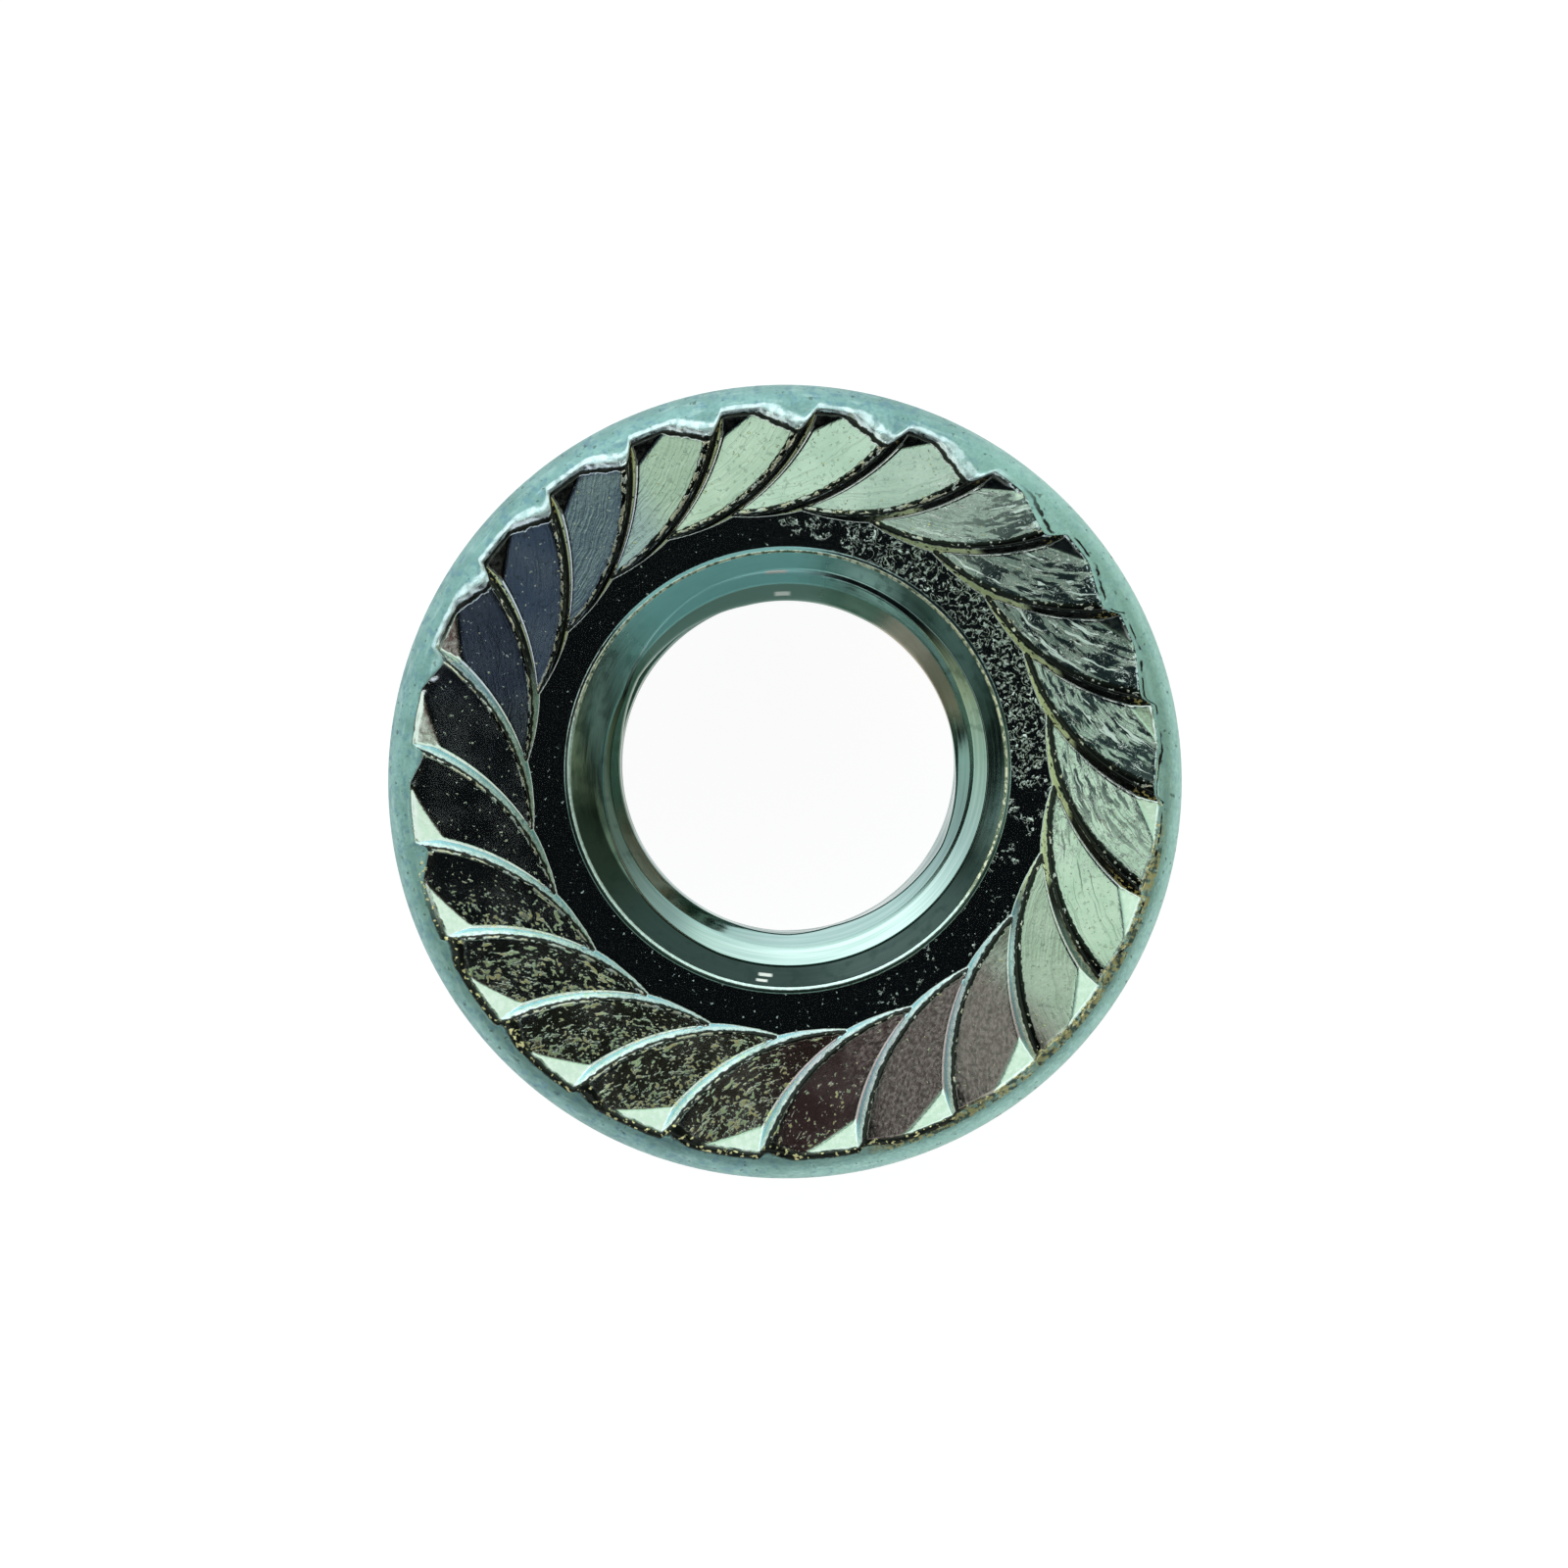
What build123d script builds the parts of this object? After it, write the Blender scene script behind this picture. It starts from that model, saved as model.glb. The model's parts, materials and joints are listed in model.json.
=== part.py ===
"""Serrated flange nut, 3/8-16 thread size: one cold-formed steel piece.

The nut stands on its hex end at z = 0, with the thread's axis on Z and the
serrated bearing face up. The thread's ridges are left out: the bore is cut to
the thread's minor diameter. Lengths are in mm and angles in degrees.
"""

import os
from math import cos, radians, sin, sqrt, tan

from build123d import *

# Bore and countersinks
thread_minor_d = 8.06
countersink_d = 10.58
countersink_angle = 90
mouth_bevel = 0.1

# Hex body; the corner chamfer ends on a circle inset from the flats
hex_across_flats = 14.15
chamfer_inset = 0.375
corner_chamfer_angle = 30
corner_round = 0.3

# Flange: a flat land round the bore, then a dished cone up to a rounded rim that
# stands out past the hex corners
land_height = 8.0
flange_overhang = 1.35
rim_round = 0.81
ridge_rise = 0.36
dish_slope = 12.7
shoulder_slope = 18.9
back_slope = 20
root_fillet = 0.4
rim_run_out = (-0.08, -0.42)

# Serrations: each tooth is a leaning disc with a tapered, bevelled edge, and the
# ring of discs leaves a plain land round the mouth
tooth_count = 24
disc_radius = 5.32
land_width = 0.98
disc_thickness = 1.0
disc_edge_draft = 40
crest_bevel = 0.14
ramp_slope = 9
ramp_heading = -115
disc_sink = 0.22
first_disc_angle = 7.2
tooth_run_out = (0.04, -0.22)

# Sizes that follow
bore_radius = thread_minor_d / 2
mouth_radius = countersink_d / 2
countersink_depth = (mouth_radius - bore_radius) / tan(radians(countersink_angle / 2))
hex_corner_radius = hex_across_flats / sqrt(3)
chamfer_face_radius = hex_across_flats / 2 - chamfer_inset
rim_center_radius = hex_corner_radius + flange_overhang - rim_round
ridge_radius = rim_center_radius + rim_round * sin(radians(shoulder_slope))
ridge_height = land_height + ridge_rise
rim_center_height = ridge_height - rim_round * cos(radians(shoulder_slope))
land_radius = ridge_radius - ridge_rise / tan(radians(dish_slope))
disc_circle_radius = mouth_radius + land_width + disc_radius
disc_foot_radius = disc_radius + disc_thickness * tan(radians(disc_edge_draft))
ring_width = ridge_radius - (disc_circle_radius - disc_foot_radius)
ring_floor = land_height - disc_thickness / 2

# The flange's axis runs out from the thread's, so its sketches share this plane
flange_axis = Axis((*rim_run_out, 0), (0, 0, 1))
flange_plane = Plane(origin=(*rim_run_out, 0), x_dir=(1, 0, 0), z_dir=(0, -1, 0))

# One tooth's disc, about its own centre: flat on top, with a bevelled crest
with BuildPart() as tooth:
    with BuildSketch(Plane.XZ) as disc_section:
        with BuildLine():
            Polyline(
                (0, 0),
                (disc_radius, 0),
                (disc_foot_radius, -disc_thickness),
                (0, -disc_thickness),
                close=True,
            )
        make_face()
        crest = disc_section.vertices().group_by(Axis.Y)[-1].sort_by(Axis.X)[-1]
        chamfer(crest, crest_bevel)
    revolve(axis=Axis.Z)

# The ring of teeth: discs leaning round the bore, cut off by the rim's shoulder
with BuildPart() as serrations:
    with Locations((*tooth_run_out, land_height - disc_sink)):
        with PolarLocations(disc_circle_radius, tooth_count, first_disc_angle):
            with Locations(Rotation(0, 0, ramp_heading + 180)):
                add(tooth.part, rotation=(0, ramp_slope, 0))
    with BuildSketch(flange_plane):
        with BuildLine():
            shoulder = PolarLine(
                (ridge_radius, ridge_height),
                ring_width,
                180 - shoulder_slope,
                length_mode=LengthMode.HORIZONTAL,
            )
            Polyline(
                shoulder @ 1,
                (ridge_radius - ring_width, ring_floor),
                (ridge_radius, ring_floor),
                shoulder @ 0,
            )
        make_face()
    revolve(axis=flange_axis, mode=Mode.INTERSECT)

with BuildPart() as flange_nut:
    # Hex prism with its corners chamfered at the bottom
    with BuildSketch():
        RegularPolygon(hex_across_flats / 2, 6, major_radius=False)
    extrude(amount=land_height)
    fillet(flange_nut.edges().filter_by(Axis.Z), corner_round)
    with BuildSketch(Plane.XZ):
        with BuildLine():
            chamfer_cone = PolarLine(
                (chamfer_face_radius, 0),
                hex_corner_radius - chamfer_face_radius,
                corner_chamfer_angle,
                length_mode=LengthMode.HORIZONTAL,
            )
            Polyline(
                chamfer_cone @ 1,
                (hex_corner_radius, land_height),
                (0, land_height),
                (0, 0),
                chamfer_cone @ 0,
            )
        make_face()
    revolve(axis=Axis.Z, mode=Mode.INTERSECT)

    # Flange: rounded rim, conical back and dished bearing side
    with BuildSketch(flange_plane):
        with BuildLine():
            rim = CenterArc(
                (rim_center_radius, rim_center_height),
                rim_round,
                back_slope - 90,
                180 - back_slope - shoulder_slope,
            )
            back = PolarLine(
                rim @ 0,
                (rim @ 0).X,
                180 + back_slope,
                length_mode=LengthMode.HORIZONTAL,
            )
            Polyline(
                rim @ 1,
                (land_radius, land_height),
                (0, land_height),
                back @ 1,
            )
        make_face()
    revolve(axis=flange_axis)

    # Rolled-in root where the hex meets the flange's back
    hex_flats = flange_nut.faces().filter_by(GeomType.PLANE).filter_by(
        lambda face: abs(face.normal_at().Z) < 0.01
    )
    hex_corners = flange_nut.faces().filter_by(GeomType.CYLINDER)
    root_edges = (hex_flats + hex_corners).edges().filter_by(
        lambda edge: edge.geom_type != GeomType.LINE and edge.center().Z > land_height / 2
    )
    fillet(root_edges, root_fillet)

    add(serrations.part)

    # Bore with a countersink at each end and a bevelled mouth on the bearing side
    with BuildSketch(Plane.XZ):
        with BuildLine():
            Polyline(
                (0, 0),
                (mouth_radius, 0),
                (bore_radius, countersink_depth),
                (bore_radius, land_height - countersink_depth),
                (mouth_radius, land_height),
                (0, land_height),
                close=True,
            )
        make_face()
    revolve(axis=Axis.Z, mode=Mode.SUBTRACT)
    land_circles = flange_nut.edges().filter_by(GeomType.CIRCLE).filter_by_position(
        Axis.Z, land_height, land_height
    )
    chamfer(land_circles.sort_by(SortBy.RADIUS)[0], mouth_bevel)

flange_nut.part.label = "flange_nut"
os.makedirs("parts", exist_ok=True)
export_step(flange_nut.part, "parts/flange_nut.step")
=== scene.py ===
# %% [markdown]
# # A serrated flange nut
# A flange nut is a hex nut with a washer formed onto one end. It is cold-formed
# from steel wire, tapped, and plated with zinc. Here it stands on its hex end,
# so its bearing side is up: a dished ring of 24 leaning teeth that bite into
# whatever the nut is tightened against.

import json

import bpy
import numpy as np
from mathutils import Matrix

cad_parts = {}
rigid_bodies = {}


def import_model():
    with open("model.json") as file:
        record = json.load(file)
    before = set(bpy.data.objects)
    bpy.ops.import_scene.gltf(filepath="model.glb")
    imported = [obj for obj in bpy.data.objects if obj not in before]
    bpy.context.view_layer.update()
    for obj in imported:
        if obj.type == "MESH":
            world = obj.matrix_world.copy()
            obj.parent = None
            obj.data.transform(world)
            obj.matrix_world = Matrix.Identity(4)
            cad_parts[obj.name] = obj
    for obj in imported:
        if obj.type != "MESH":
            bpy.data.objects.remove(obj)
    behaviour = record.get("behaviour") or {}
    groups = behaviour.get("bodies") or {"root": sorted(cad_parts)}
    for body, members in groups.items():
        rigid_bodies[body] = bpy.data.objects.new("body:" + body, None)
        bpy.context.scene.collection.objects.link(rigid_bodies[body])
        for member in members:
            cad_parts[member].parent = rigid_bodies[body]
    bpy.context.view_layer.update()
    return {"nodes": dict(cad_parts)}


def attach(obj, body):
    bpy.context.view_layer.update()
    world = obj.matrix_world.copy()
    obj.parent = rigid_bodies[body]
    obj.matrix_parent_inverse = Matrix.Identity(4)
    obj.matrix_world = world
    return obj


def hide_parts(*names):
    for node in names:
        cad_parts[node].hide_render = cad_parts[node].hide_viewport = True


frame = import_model()
scene = bpy.context.scene
scene.view_settings.view_transform = "Standard"
print("CAD nodes:", sorted(frame["nodes"]))

# %% [markdown]
# ## Sizes
# The sizes repeat the CAD model's, in millimetres and degrees. Work in
# millimetres keeps the numbers readable; the mesh is scaled to metres once,
# when it is made. Three centres matter: the thread's axis is the origin, and
# the rim and the ring of teeth each run out a little from it, as they do on a
# real pressed part.

# %% Sizes of the bore and the body, in millimetres
MM = 0.001
BORE_R = 4.03
PITCH = 25.4 / 16
MAJOR_R = 9.525 / 2
HEX_FLATS = 14.15
HEX_CORNER_ROUND = 0.3
CHAMFER_R = 6.7
LAND_Z = 8.0
HIGHEST_Z = 8.536
RIM_ROUND = 0.81
RIM_R = 9.515
RIDGE_RISE = 0.36
DISH = np.radians(12.7)
SHOULDER = np.radians(18.9)
BACK = np.radians(20)
ROOT = 0.4
RIM_C = np.array([-0.08, -0.42])
print("rim diameter:", 2 * RIM_R, "across flats:", HEX_FLATS, "thread pitch:", PITCH)

# %% Sizes of the teeth
TEETH = 24
DISC_R = 5.32
DISC_CIRCLE_R = 11.59
DRAFT = np.radians(29)
RAMP = np.radians(9)
HEADING = np.radians(-115)
DISC_SINK = 0.22
FIRST_DISC = np.radians(7.2)
TOOTH_C = np.array([0.04, -0.22])
sector = 2 * np.pi / TEETH
print("degrees from tooth to tooth:", 360 / TEETH)

# %% The rim's round and its ridge
rim_tube_r = RIM_R - RIM_ROUND
ridge_r = rim_tube_r + RIM_ROUND * np.sin(SHOULDER)
ridge_z = LAND_Z + RIDGE_RISE
rim_tube_z = ridge_z - RIM_ROUND * np.cos(SHOULDER)
print("ridge radius", round(ridge_r, 3), "ridge height", round(ridge_z, 3))

# %% [markdown]
# ## The shape of one tooth
# Each tooth is the print of a flat disc that leans by nine degrees. Its top is
# a plane, and past the disc's edge the surface falls away as a steep cone: the
# wall. A height field is the natural way to write this down, because from
# above every point of the bearing side is seen once.

# %% Soft maximum and minimum
def soft_max(a, b, width):
    """The larger of a and b, rounded over about the given width where they meet:
    half of (a + b + the root of (a - b) squared plus width squared)."""
    return 0.5 * (a + b + np.sqrt((a - b) ** 2 + width**2))


def soft_min(a, b, width):
    """The smaller of a and b, rounded in the same way."""
    return -soft_max(-a, -b, width)


print("two equal heights, rounded over 0.1 mm:", soft_max(1.0, 1.0, 0.1))


# %% Height of one tooth
def disc_coordinates(x, y, number):
    """Where (x, y) lies about one disc's centre, in mm: the distance uphill and
    the distance across, both in plan."""
    turn = FIRST_DISC + sector * number
    dx = x - TOOTH_C[0] - DISC_CIRCLE_R * np.cos(turn)
    dy = y - TOOTH_C[1] - DISC_CIRCLE_R * np.sin(turn)
    uphill = turn + HEADING
    return (
        dx * np.cos(uphill) + dy * np.sin(uphill),
        dy * np.cos(uphill) - dx * np.sin(uphill),
    )


def tooth_height(x, y, number, crest=0.0):
    """Height of one tooth over (x, y), and how far past its edge the point is.
    The plane rises by the ramp's tangent uphill. Past the disc's edge the depth
    under that plane is the excess radius over the draft's tangent; crest is the
    width of the rounding between them. The radius in the leaning plane depends
    on the height itself, and four rounds settle it."""
    along, across = disc_coordinates(x, y, number)
    z = along * np.tan(RAMP)
    for _ in range(4):
        in_plane = along * np.cos(RAMP) + z * np.sin(RAMP)
        excess = (np.hypot(in_plane, across) - DISC_R) / np.tan(DRAFT)
        depth = soft_max(excess, 0.0, crest)
        z = (along * np.sin(RAMP) - depth) / np.cos(RAMP)
    return LAND_Z - DISC_SINK + z, excess


tip = DISC_CIRCLE_R - DISC_R, FIRST_DISC
print("inner tip of tooth 0:", np.round([tip[0] * np.cos(tip[1]), tip[0] * np.sin(tip[1])], 2))

# %% [markdown]
# ## Following the teeth with the mesh
# A plain polar grid would cut across the steep walls and leave them ragged. So
# the columns lean with the walls: each column keeps its place between one
# wall's foot and the next as it runs inwards. The angle of the foot at each
# radius is found by halving an interval, for all radii at once.

# %% Halving an interval for a whole array
def halve(difference, low, high):
    """Where difference changes from negative to positive between low and high,
    by thirty halvings of every interval at the same time."""
    for _ in range(30):
        middle = 0.5 * (low + high)
        above = difference(middle) > 0
        high = np.where(above, middle, high)
        low = np.where(above, low, middle)
    return 0.5 * (low + high)


print("root of 2 by halving:", halve(lambda x: x * x - 2, 1.0, 2.0).round(6))


# %% Angle of the wall's foot and crest at each radius
def ring_point(radius, angle):
    """The point at a distance and a direction from the tooth centre."""
    return TOOTH_C[0] + radius * np.cos(angle), TOOTH_C[1] + radius * np.sin(angle)


def crest_angle_of(radius):
    """Angle where a circle about the tooth centre crosses disc 0's edge, from
    the law of cosines."""
    cosine = (radius**2 + DISC_CIRCLE_R**2 - DISC_R**2) / (2 * radius * DISC_CIRCLE_R)
    return FIRST_DISC - np.arccos(np.clip(cosine, -1, 1))


def foot_step(angle):
    """How far disc 0 stands above the disc before it, at each sampled radius."""
    x, y = ring_point(sample_r, angle)
    return tooth_height(x, y, 0)[0] - tooth_height(x, y, -1)[0]


lean_from = 6.42
sample_r = np.linspace(lean_from, 9.6, 200)
sample_crest = crest_angle_of(sample_r)
sample_foot = halve(foot_step, sample_crest - 0.2, sample_crest)
print("foot angle, deg:", np.degrees(sample_foot[[0, 60, 120, 199]]).round(2))


# %% The same at any radius
def foot_angle(radius):
    """The foot's angle at any radius, carried on in a straight line inside the
    radius where the walls turn to run round the land."""
    inner_slope = (sample_foot[1] - sample_foot[0]) / (sample_r[1] - sample_r[0])
    inside = sample_foot[0] + inner_slope * (radius - lean_from)
    return np.where(radius < lean_from, inside, np.interp(radius, sample_r, sample_foot))


WIDEST_WALL = np.radians(4.6)


def wall_width(radius):
    """Angle from the wall's foot to its crest."""
    width = np.interp(radius, sample_r, sample_crest - sample_foot)
    return np.clip(width, 0, WIDEST_WALL)


print("wall width at radius 8, deg:", np.degrees(wall_width(8.0)).round(2))

# %% Columns of the serrated ring
COLUMNS = 30
foot_part = np.array([0.0, 0.22, 0.44, 0.66, 0.85, 1.0, 1.18, 1.4])
leaf_part = np.linspace(0, 1, COLUMNS - len(foot_part) + 2)[1:-1]


def column_offset(radius):
    """Angle of each column past the wall's foot: eight columns share out the
    wall and its crest, and the others share out the rest of the sector."""
    width = wall_width(radius)[..., None]
    first = width * foot_part
    last = first[..., -1:]
    rest = last + (sector - last) * leaf_part
    return np.concatenate([first, rest], -1)


print("columns in the ring:", COLUMNS * TEETH)


# %% Rows of the serrated ring
def circle_from(radius, angle, offset):
    """Distance from the tooth centre, in a direction, to a circle of the given
    radius about the rim's centre."""
    along = offset[0] * np.cos(angle) + offset[1] * np.sin(angle)
    across = offset[1] * np.cos(angle) - offset[0] * np.sin(angle)
    return along + np.sqrt(radius**2 - across**2)


# rows lie close together at the scalloped lip by the land and near the ridge
RING_INNER = 6.0
steps_in = np.concatenate(
    [
        np.arange(RING_INNER, 6.39, 0.025),
        np.arange(6.4, 8.3, 0.065),
        np.arange(8.3, ridge_r - 0.015, 0.026),
    ]
)
row_share = (steps_in - RING_INNER) / (ridge_r - RING_INNER)
past_ridge = np.array([0.0, 0.025, 0.05, 0.075, 0.1, 0.14, 0.2])
print("rows up to the ridge:", len(steps_in), "and past it:", len(past_ridge))


# %% The ring's grid
def serrated_ring():
    """Radius and angle of every vertex of the ring, about the tooth centre. The
    rows run from the land to the ridge as equal shares of the way, so the last
    ones lie on circles about the rim's centre. The angle of a column and the
    radius of its row depend on each other, and four rounds settle them."""
    teeth = np.arange(TEETH)[:, None] * sector
    offset = RIM_C - TOOTH_C
    rows_r, rows_a = [], []
    nominal = np.concatenate([steps_in, ridge_r + past_ridge])
    for index, radius in enumerate(nominal):
        angle = np.full((TEETH, COLUMNS), foot_angle(radius)) + teeth
        for _ in range(4):
            if index < len(steps_in):
                edge = circle_from(ridge_r, angle, offset)
                rad = RING_INNER + (edge - RING_INNER) * row_share[index]
            else:
                rad = circle_from(radius, angle, offset)
            base = foot_angle(rad)
            offsets = np.take_along_axis(
                column_offset(rad),
                np.broadcast_to(np.arange(COLUMNS)[None, :, None], (TEETH, COLUMNS, 1)),
                2,
            )[..., 0]
            angle = teeth + base + offsets
        rows_r.append(rad.ravel())
        rows_a.append(angle.ravel())
    return np.array(rows_r), np.array(rows_a)


ring_r, ring_a = serrated_ring()
ring_x, ring_y = ring_point(ring_r, ring_a)
print("serrated ring grid:", ring_r.shape)

# %% [markdown]
# ## Height of the bearing side
# The die pressed the teeth, the dish and the land, but not the rim's rounded
# shoulder, so the shoulder cuts the teeth off outside. The height is therefore
# the lower of two things: the shoulder, and the highest of the land, the dish
# and the teeth. A rounded cap on the whole keeps it as low as the solid.

# %% The rim's own shape
RIM_LIFT = 0.1
LIFTED_SIDE = np.radians(230)
EDGE_TURNS = [15, 50, 265, 295, 345]
EDGE_TILT = [35, 18.9, 18.9, 58, 58]


def rim_lift(x, y):
    """The flange leans a little: its ridge stands up to RIM_LIFT higher on one
    side, by half of one plus the cosine of the angle from that side."""
    turn = np.arctan2(y, x)
    return RIM_LIFT * 0.5 * (1 + np.cos(turn - LIFTED_SIDE))


def rim_top(x, y):
    """The rim's own surface: the top of its round outside the ridge, and a cone
    carried on inwards. The cone is the round's tangent, but steeper at the lower
    right, where the die's edge cut the teeth off clean."""
    r = np.hypot(x - RIM_C[0], y - RIM_C[1])
    turn = np.degrees(np.arctan2(y, x))
    tilt = np.radians(np.interp(turn, EDGE_TURNS, EDGE_TILT, period=360))
    cone = ridge_z - (r - ridge_r) * np.tan(tilt)
    bulge = np.sqrt(np.maximum(RIM_ROUND**2 - (r - rim_tube_r) ** 2, 0))
    fade = np.clip((RIM_R - r) / (RIM_R - ridge_r), 0, 1)
    return np.where(r < ridge_r, cone, rim_tube_z + bulge) + rim_lift(x, y) * fade


print("rim just past its ridge reaches z", rim_top(ring_x[-1], ring_y[-1]).max().round(3))


# %% What the die pressed
def pressed(x, y):
    """What the die pressed, and which tooth is on top: the land, the dish, and
    the highest tooth, with the crests rounder towards the rim."""
    radius = np.hypot(x - TOOTH_C[0], y - TOOTH_C[1])
    angle = np.arctan2(y - TOOTH_C[1], x - TOOTH_C[0])
    nearest = np.floor((angle - foot_angle(radius)) / sector)
    crest = np.interp(radius, [6.2, 6.9, 8.0, 9.0], [0.02, 0.04, 0.06, 0.1])
    top = np.full(x.shape, -99.0)
    owner = np.zeros(x.shape)
    edge = np.zeros(x.shape)
    for step in (-1, 0, 1):
        height, excess = tooth_height(x, y, nearest + step, crest)
        owner = np.where(height > top, nearest + step, owner)
        edge = np.where(height > top, excess, edge)
        top = np.where(top < -50, height, soft_max(top, height, 0.008))
    r = np.hypot(x - RIM_C[0], y - RIM_C[1])
    rise = ridge_z - LAND_Z
    land_r = ridge_r - rise / np.tan(DISH)
    dish = LAND_Z + (rise + rim_lift(x, y)) * (r - land_r) / (ridge_r - land_r)
    floor = soft_max(dish, LAND_Z, 0.008)
    coined = soft_max(floor, top, 0.004)
    return coined, owner, edge, top - floor


print("highest crest before the cut, mm:", pressed(ring_x, ring_y)[0].max().round(3))

# %% [markdown]
# ## The burr along the border
# Where the die's edge bit, most of all at the upper left, it squeezed up a
# thin uneven bead of metal. A sweep of small beads would have to follow the
# border; a bump that is added wherever the two heights are nearly equal finds
# the border by itself.

# %% The burr
BURR_H = 0.11
BURR_W = 0.1
BURR_TURNS = [0, 45, 65, 150, 172, 210, 240, 300, 330]
BURR_SIZE = [0.2, 0.2, 1.0, 1.0, 0.35, 0.3, 0.5, 0.5, 0.3]


def lumps(turn, seed, slowest, fastest):
    """Uneven swelling round a circle, between 0 and 1: a half plus a sum of
    cosines, of whole numbers of waves and with seeded phases."""
    draw = np.random.default_rng(seed)
    waves = np.arange(slowest, fastest)
    phase = draw.uniform(0, 2 * np.pi, len(waves))
    total = np.cos(turn[..., None] * waves + phase).sum(-1) / np.sqrt(len(waves) / 2)
    return np.clip(0.5 + 0.3 * total, 0, 1)


def burr(x, y, cover):
    """The bead of metal that the die squeezed up along its border. The border
    is where the pressed face and the rim's own shape meet, so half a unit of
    their difference in height is about one unit of distance from it."""
    turn = np.arctan2(y, x)
    size = BURR_H * (0.25 + 0.75 * lumps(turn, 5, 60, 190))
    size = size * np.interp(np.degrees(turn) % 360, BURR_TURNS, BURR_SIZE, period=360)
    return size * np.exp(-((cover / 0.5 - 0.03) ** 2) / BURR_W**2)


around = np.linspace(0, 2 * np.pi, TEETH * COLUMNS)
print("highest burr, mm:", burr(np.cos(around), np.sin(around), 0.0).max().round(3))


# %% Height of the whole bearing side
def bearing_height(x, y):
    """The lower of what the die pressed and the rim's own shape, with the burr
    where they meet, and never above HIGHEST_Z. It also gives their difference,
    the tooth on top, the distance past that tooth's edge in height, and how far
    the tooth stands above the dish."""
    coined, owner, edge, above = pressed(x, y)
    rim = rim_top(x, y)
    cover = coined - rim
    height = soft_min(coined, rim, 0.02) + burr(x, y, cover)
    return soft_min(height, HIGHEST_Z, 0.02), cover, owner, edge, above


ring_z, ring_cover, ring_owner, ring_edge, ring_above = bearing_height(ring_x, ring_y)
print("teeth reach z", ring_z.max().round(3))

# %% [markdown]
# ## The rest of the section
# Past the ridge the surface is a profile carried round: the rim's round, the
# cone at the back of the flange, a small root fillet, the hex sides, their
# chamfer, the flat end, and up through the bore. The columns are fewer here,
# one for every three of the teeth's, and they gather at the hex corners.

# %% Columns for the body
BODY = COLUMNS * TEETH // 3
apothem = HEX_FLATS / 2
corner_c = (apothem - HEX_CORNER_ROUND) / np.cos(np.pi / 6)
corner_half = np.arctan(
    HEX_CORNER_ROUND * 0.5 / (corner_c + HEX_CORNER_ROUND * np.cos(np.pi / 6))
)
near_corner = np.array([-3, -2, -1, 0, 1, 2, 3]) / 3 * corner_half
between = BODY // 6 - len(near_corner)
along_flat = np.linspace(corner_half, np.pi / 3 - corner_half, between + 2)[1:-1]
hex_angles = np.concatenate(
    [np.concatenate([near_corner, along_flat]) + k * np.pi / 3 for k in range(6)]
)
even_angles = np.arange(BODY) * 2 * np.pi / BODY
print("columns round the body:", BODY)


# %% Radius of the hex in any direction
def hex_radius(angle):
    """Distance from the axis to the hex side in a direction: the apothem over
    the cosine on a flat, and a small arc at each corner."""
    turn = (angle + np.pi / 6) % (np.pi / 3) - np.pi / 6
    flat = apothem / np.cos(np.pi / 6 - np.abs(turn))
    arc = corner_c * np.cos(turn) + np.sqrt(
        np.maximum(HEX_CORNER_ROUND**2 - (corner_c * np.sin(turn)) ** 2, 0)
    )
    return np.where(np.abs(turn) < corner_half, arc, flat)


print("across corners, mm:", (2 * hex_radius(0.0)).round(2))


# %% Matching columns between two rings
def turned(angle):
    """An angle brought to between minus and plus half a turn."""
    return np.angle(np.exp(1j * angle))


def best_roll(angles, other):
    """How many places to roll the other ring's angles so that they best meet
    these: the roll with the smallest sum of differences."""
    misses = [np.abs(turned(np.roll(other, -k) - angles)).sum() for k in range(len(other))]
    return -int(np.argmin(misses))


def match(angles, other):
    """The other ring's angles, rolled and unwound so that each is the nearest to
    the one it meets."""
    return angles + turned(np.roll(other, best_roll(angles, other)) - angles)


print("5 radians, brought near zero:", turned(5.0).round(3))


# %% Rows of points about an upright axis
outer_a = np.arctan2(ring_y[-1] - RIM_C[1], ring_x[-1] - RIM_C[0])[::3]
body_a = match(outer_a, hex_angles)


def circle_row(radius, z, centre, angle):
    """A ring of points on a circle about an upright axis through the centre."""
    return np.stack(
        [
            centre[0] + radius * np.cos(angle),
            centre[1] + radius * np.sin(angle),
            np.broadcast_to(z, angle.shape).astype(float),
        ],
        -1,
    )


print("widest column, degrees:", np.degrees(np.diff(body_a).max()).round(2))

# %% The rim's round
rim_rows = []
start_turn = np.arcsin((ridge_r + past_ridge[-1] - rim_tube_r) / RIM_ROUND)
rim_turns = np.linspace(start_turn, np.pi - BACK, 25)[1:]
for index, turn in enumerate(rim_turns):
    share = np.clip((index - 4) / 16, 0, 1)
    angle = outer_a + (body_a - outer_a) * share
    row = circle_row(
        rim_tube_r + RIM_ROUND * np.sin(turn),
        rim_tube_z + RIM_ROUND * np.cos(turn),
        RIM_C,
        angle,
    )
    if turn < np.pi / 2:
        row[:, 2] = rim_top(row[:, 0], row[:, 1])
    rim_rows.append(row)
rim_end_r = rim_tube_r + RIM_ROUND * np.sin(BACK)
rim_end_z = rim_tube_z - RIM_ROUND * np.cos(BACK)
print("rim rows:", len(rim_rows), "down to z", rim_end_z.round(3))

# %% Back of the flange and the root
side_r = hex_radius(body_a)
side_xy = np.stack([side_r * np.cos(body_a), side_r * np.sin(body_a)], -1)
outward = np.stack([np.cos(body_a), np.sin(body_a)], -1)


def back_height(xy):
    """Height of the cone at the flange's back."""
    r = np.hypot(xy[:, 0] - RIM_C[0], xy[:, 1] - RIM_C[1])
    return rim_end_z - np.tan(BACK) * (rim_end_r - r)


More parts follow.
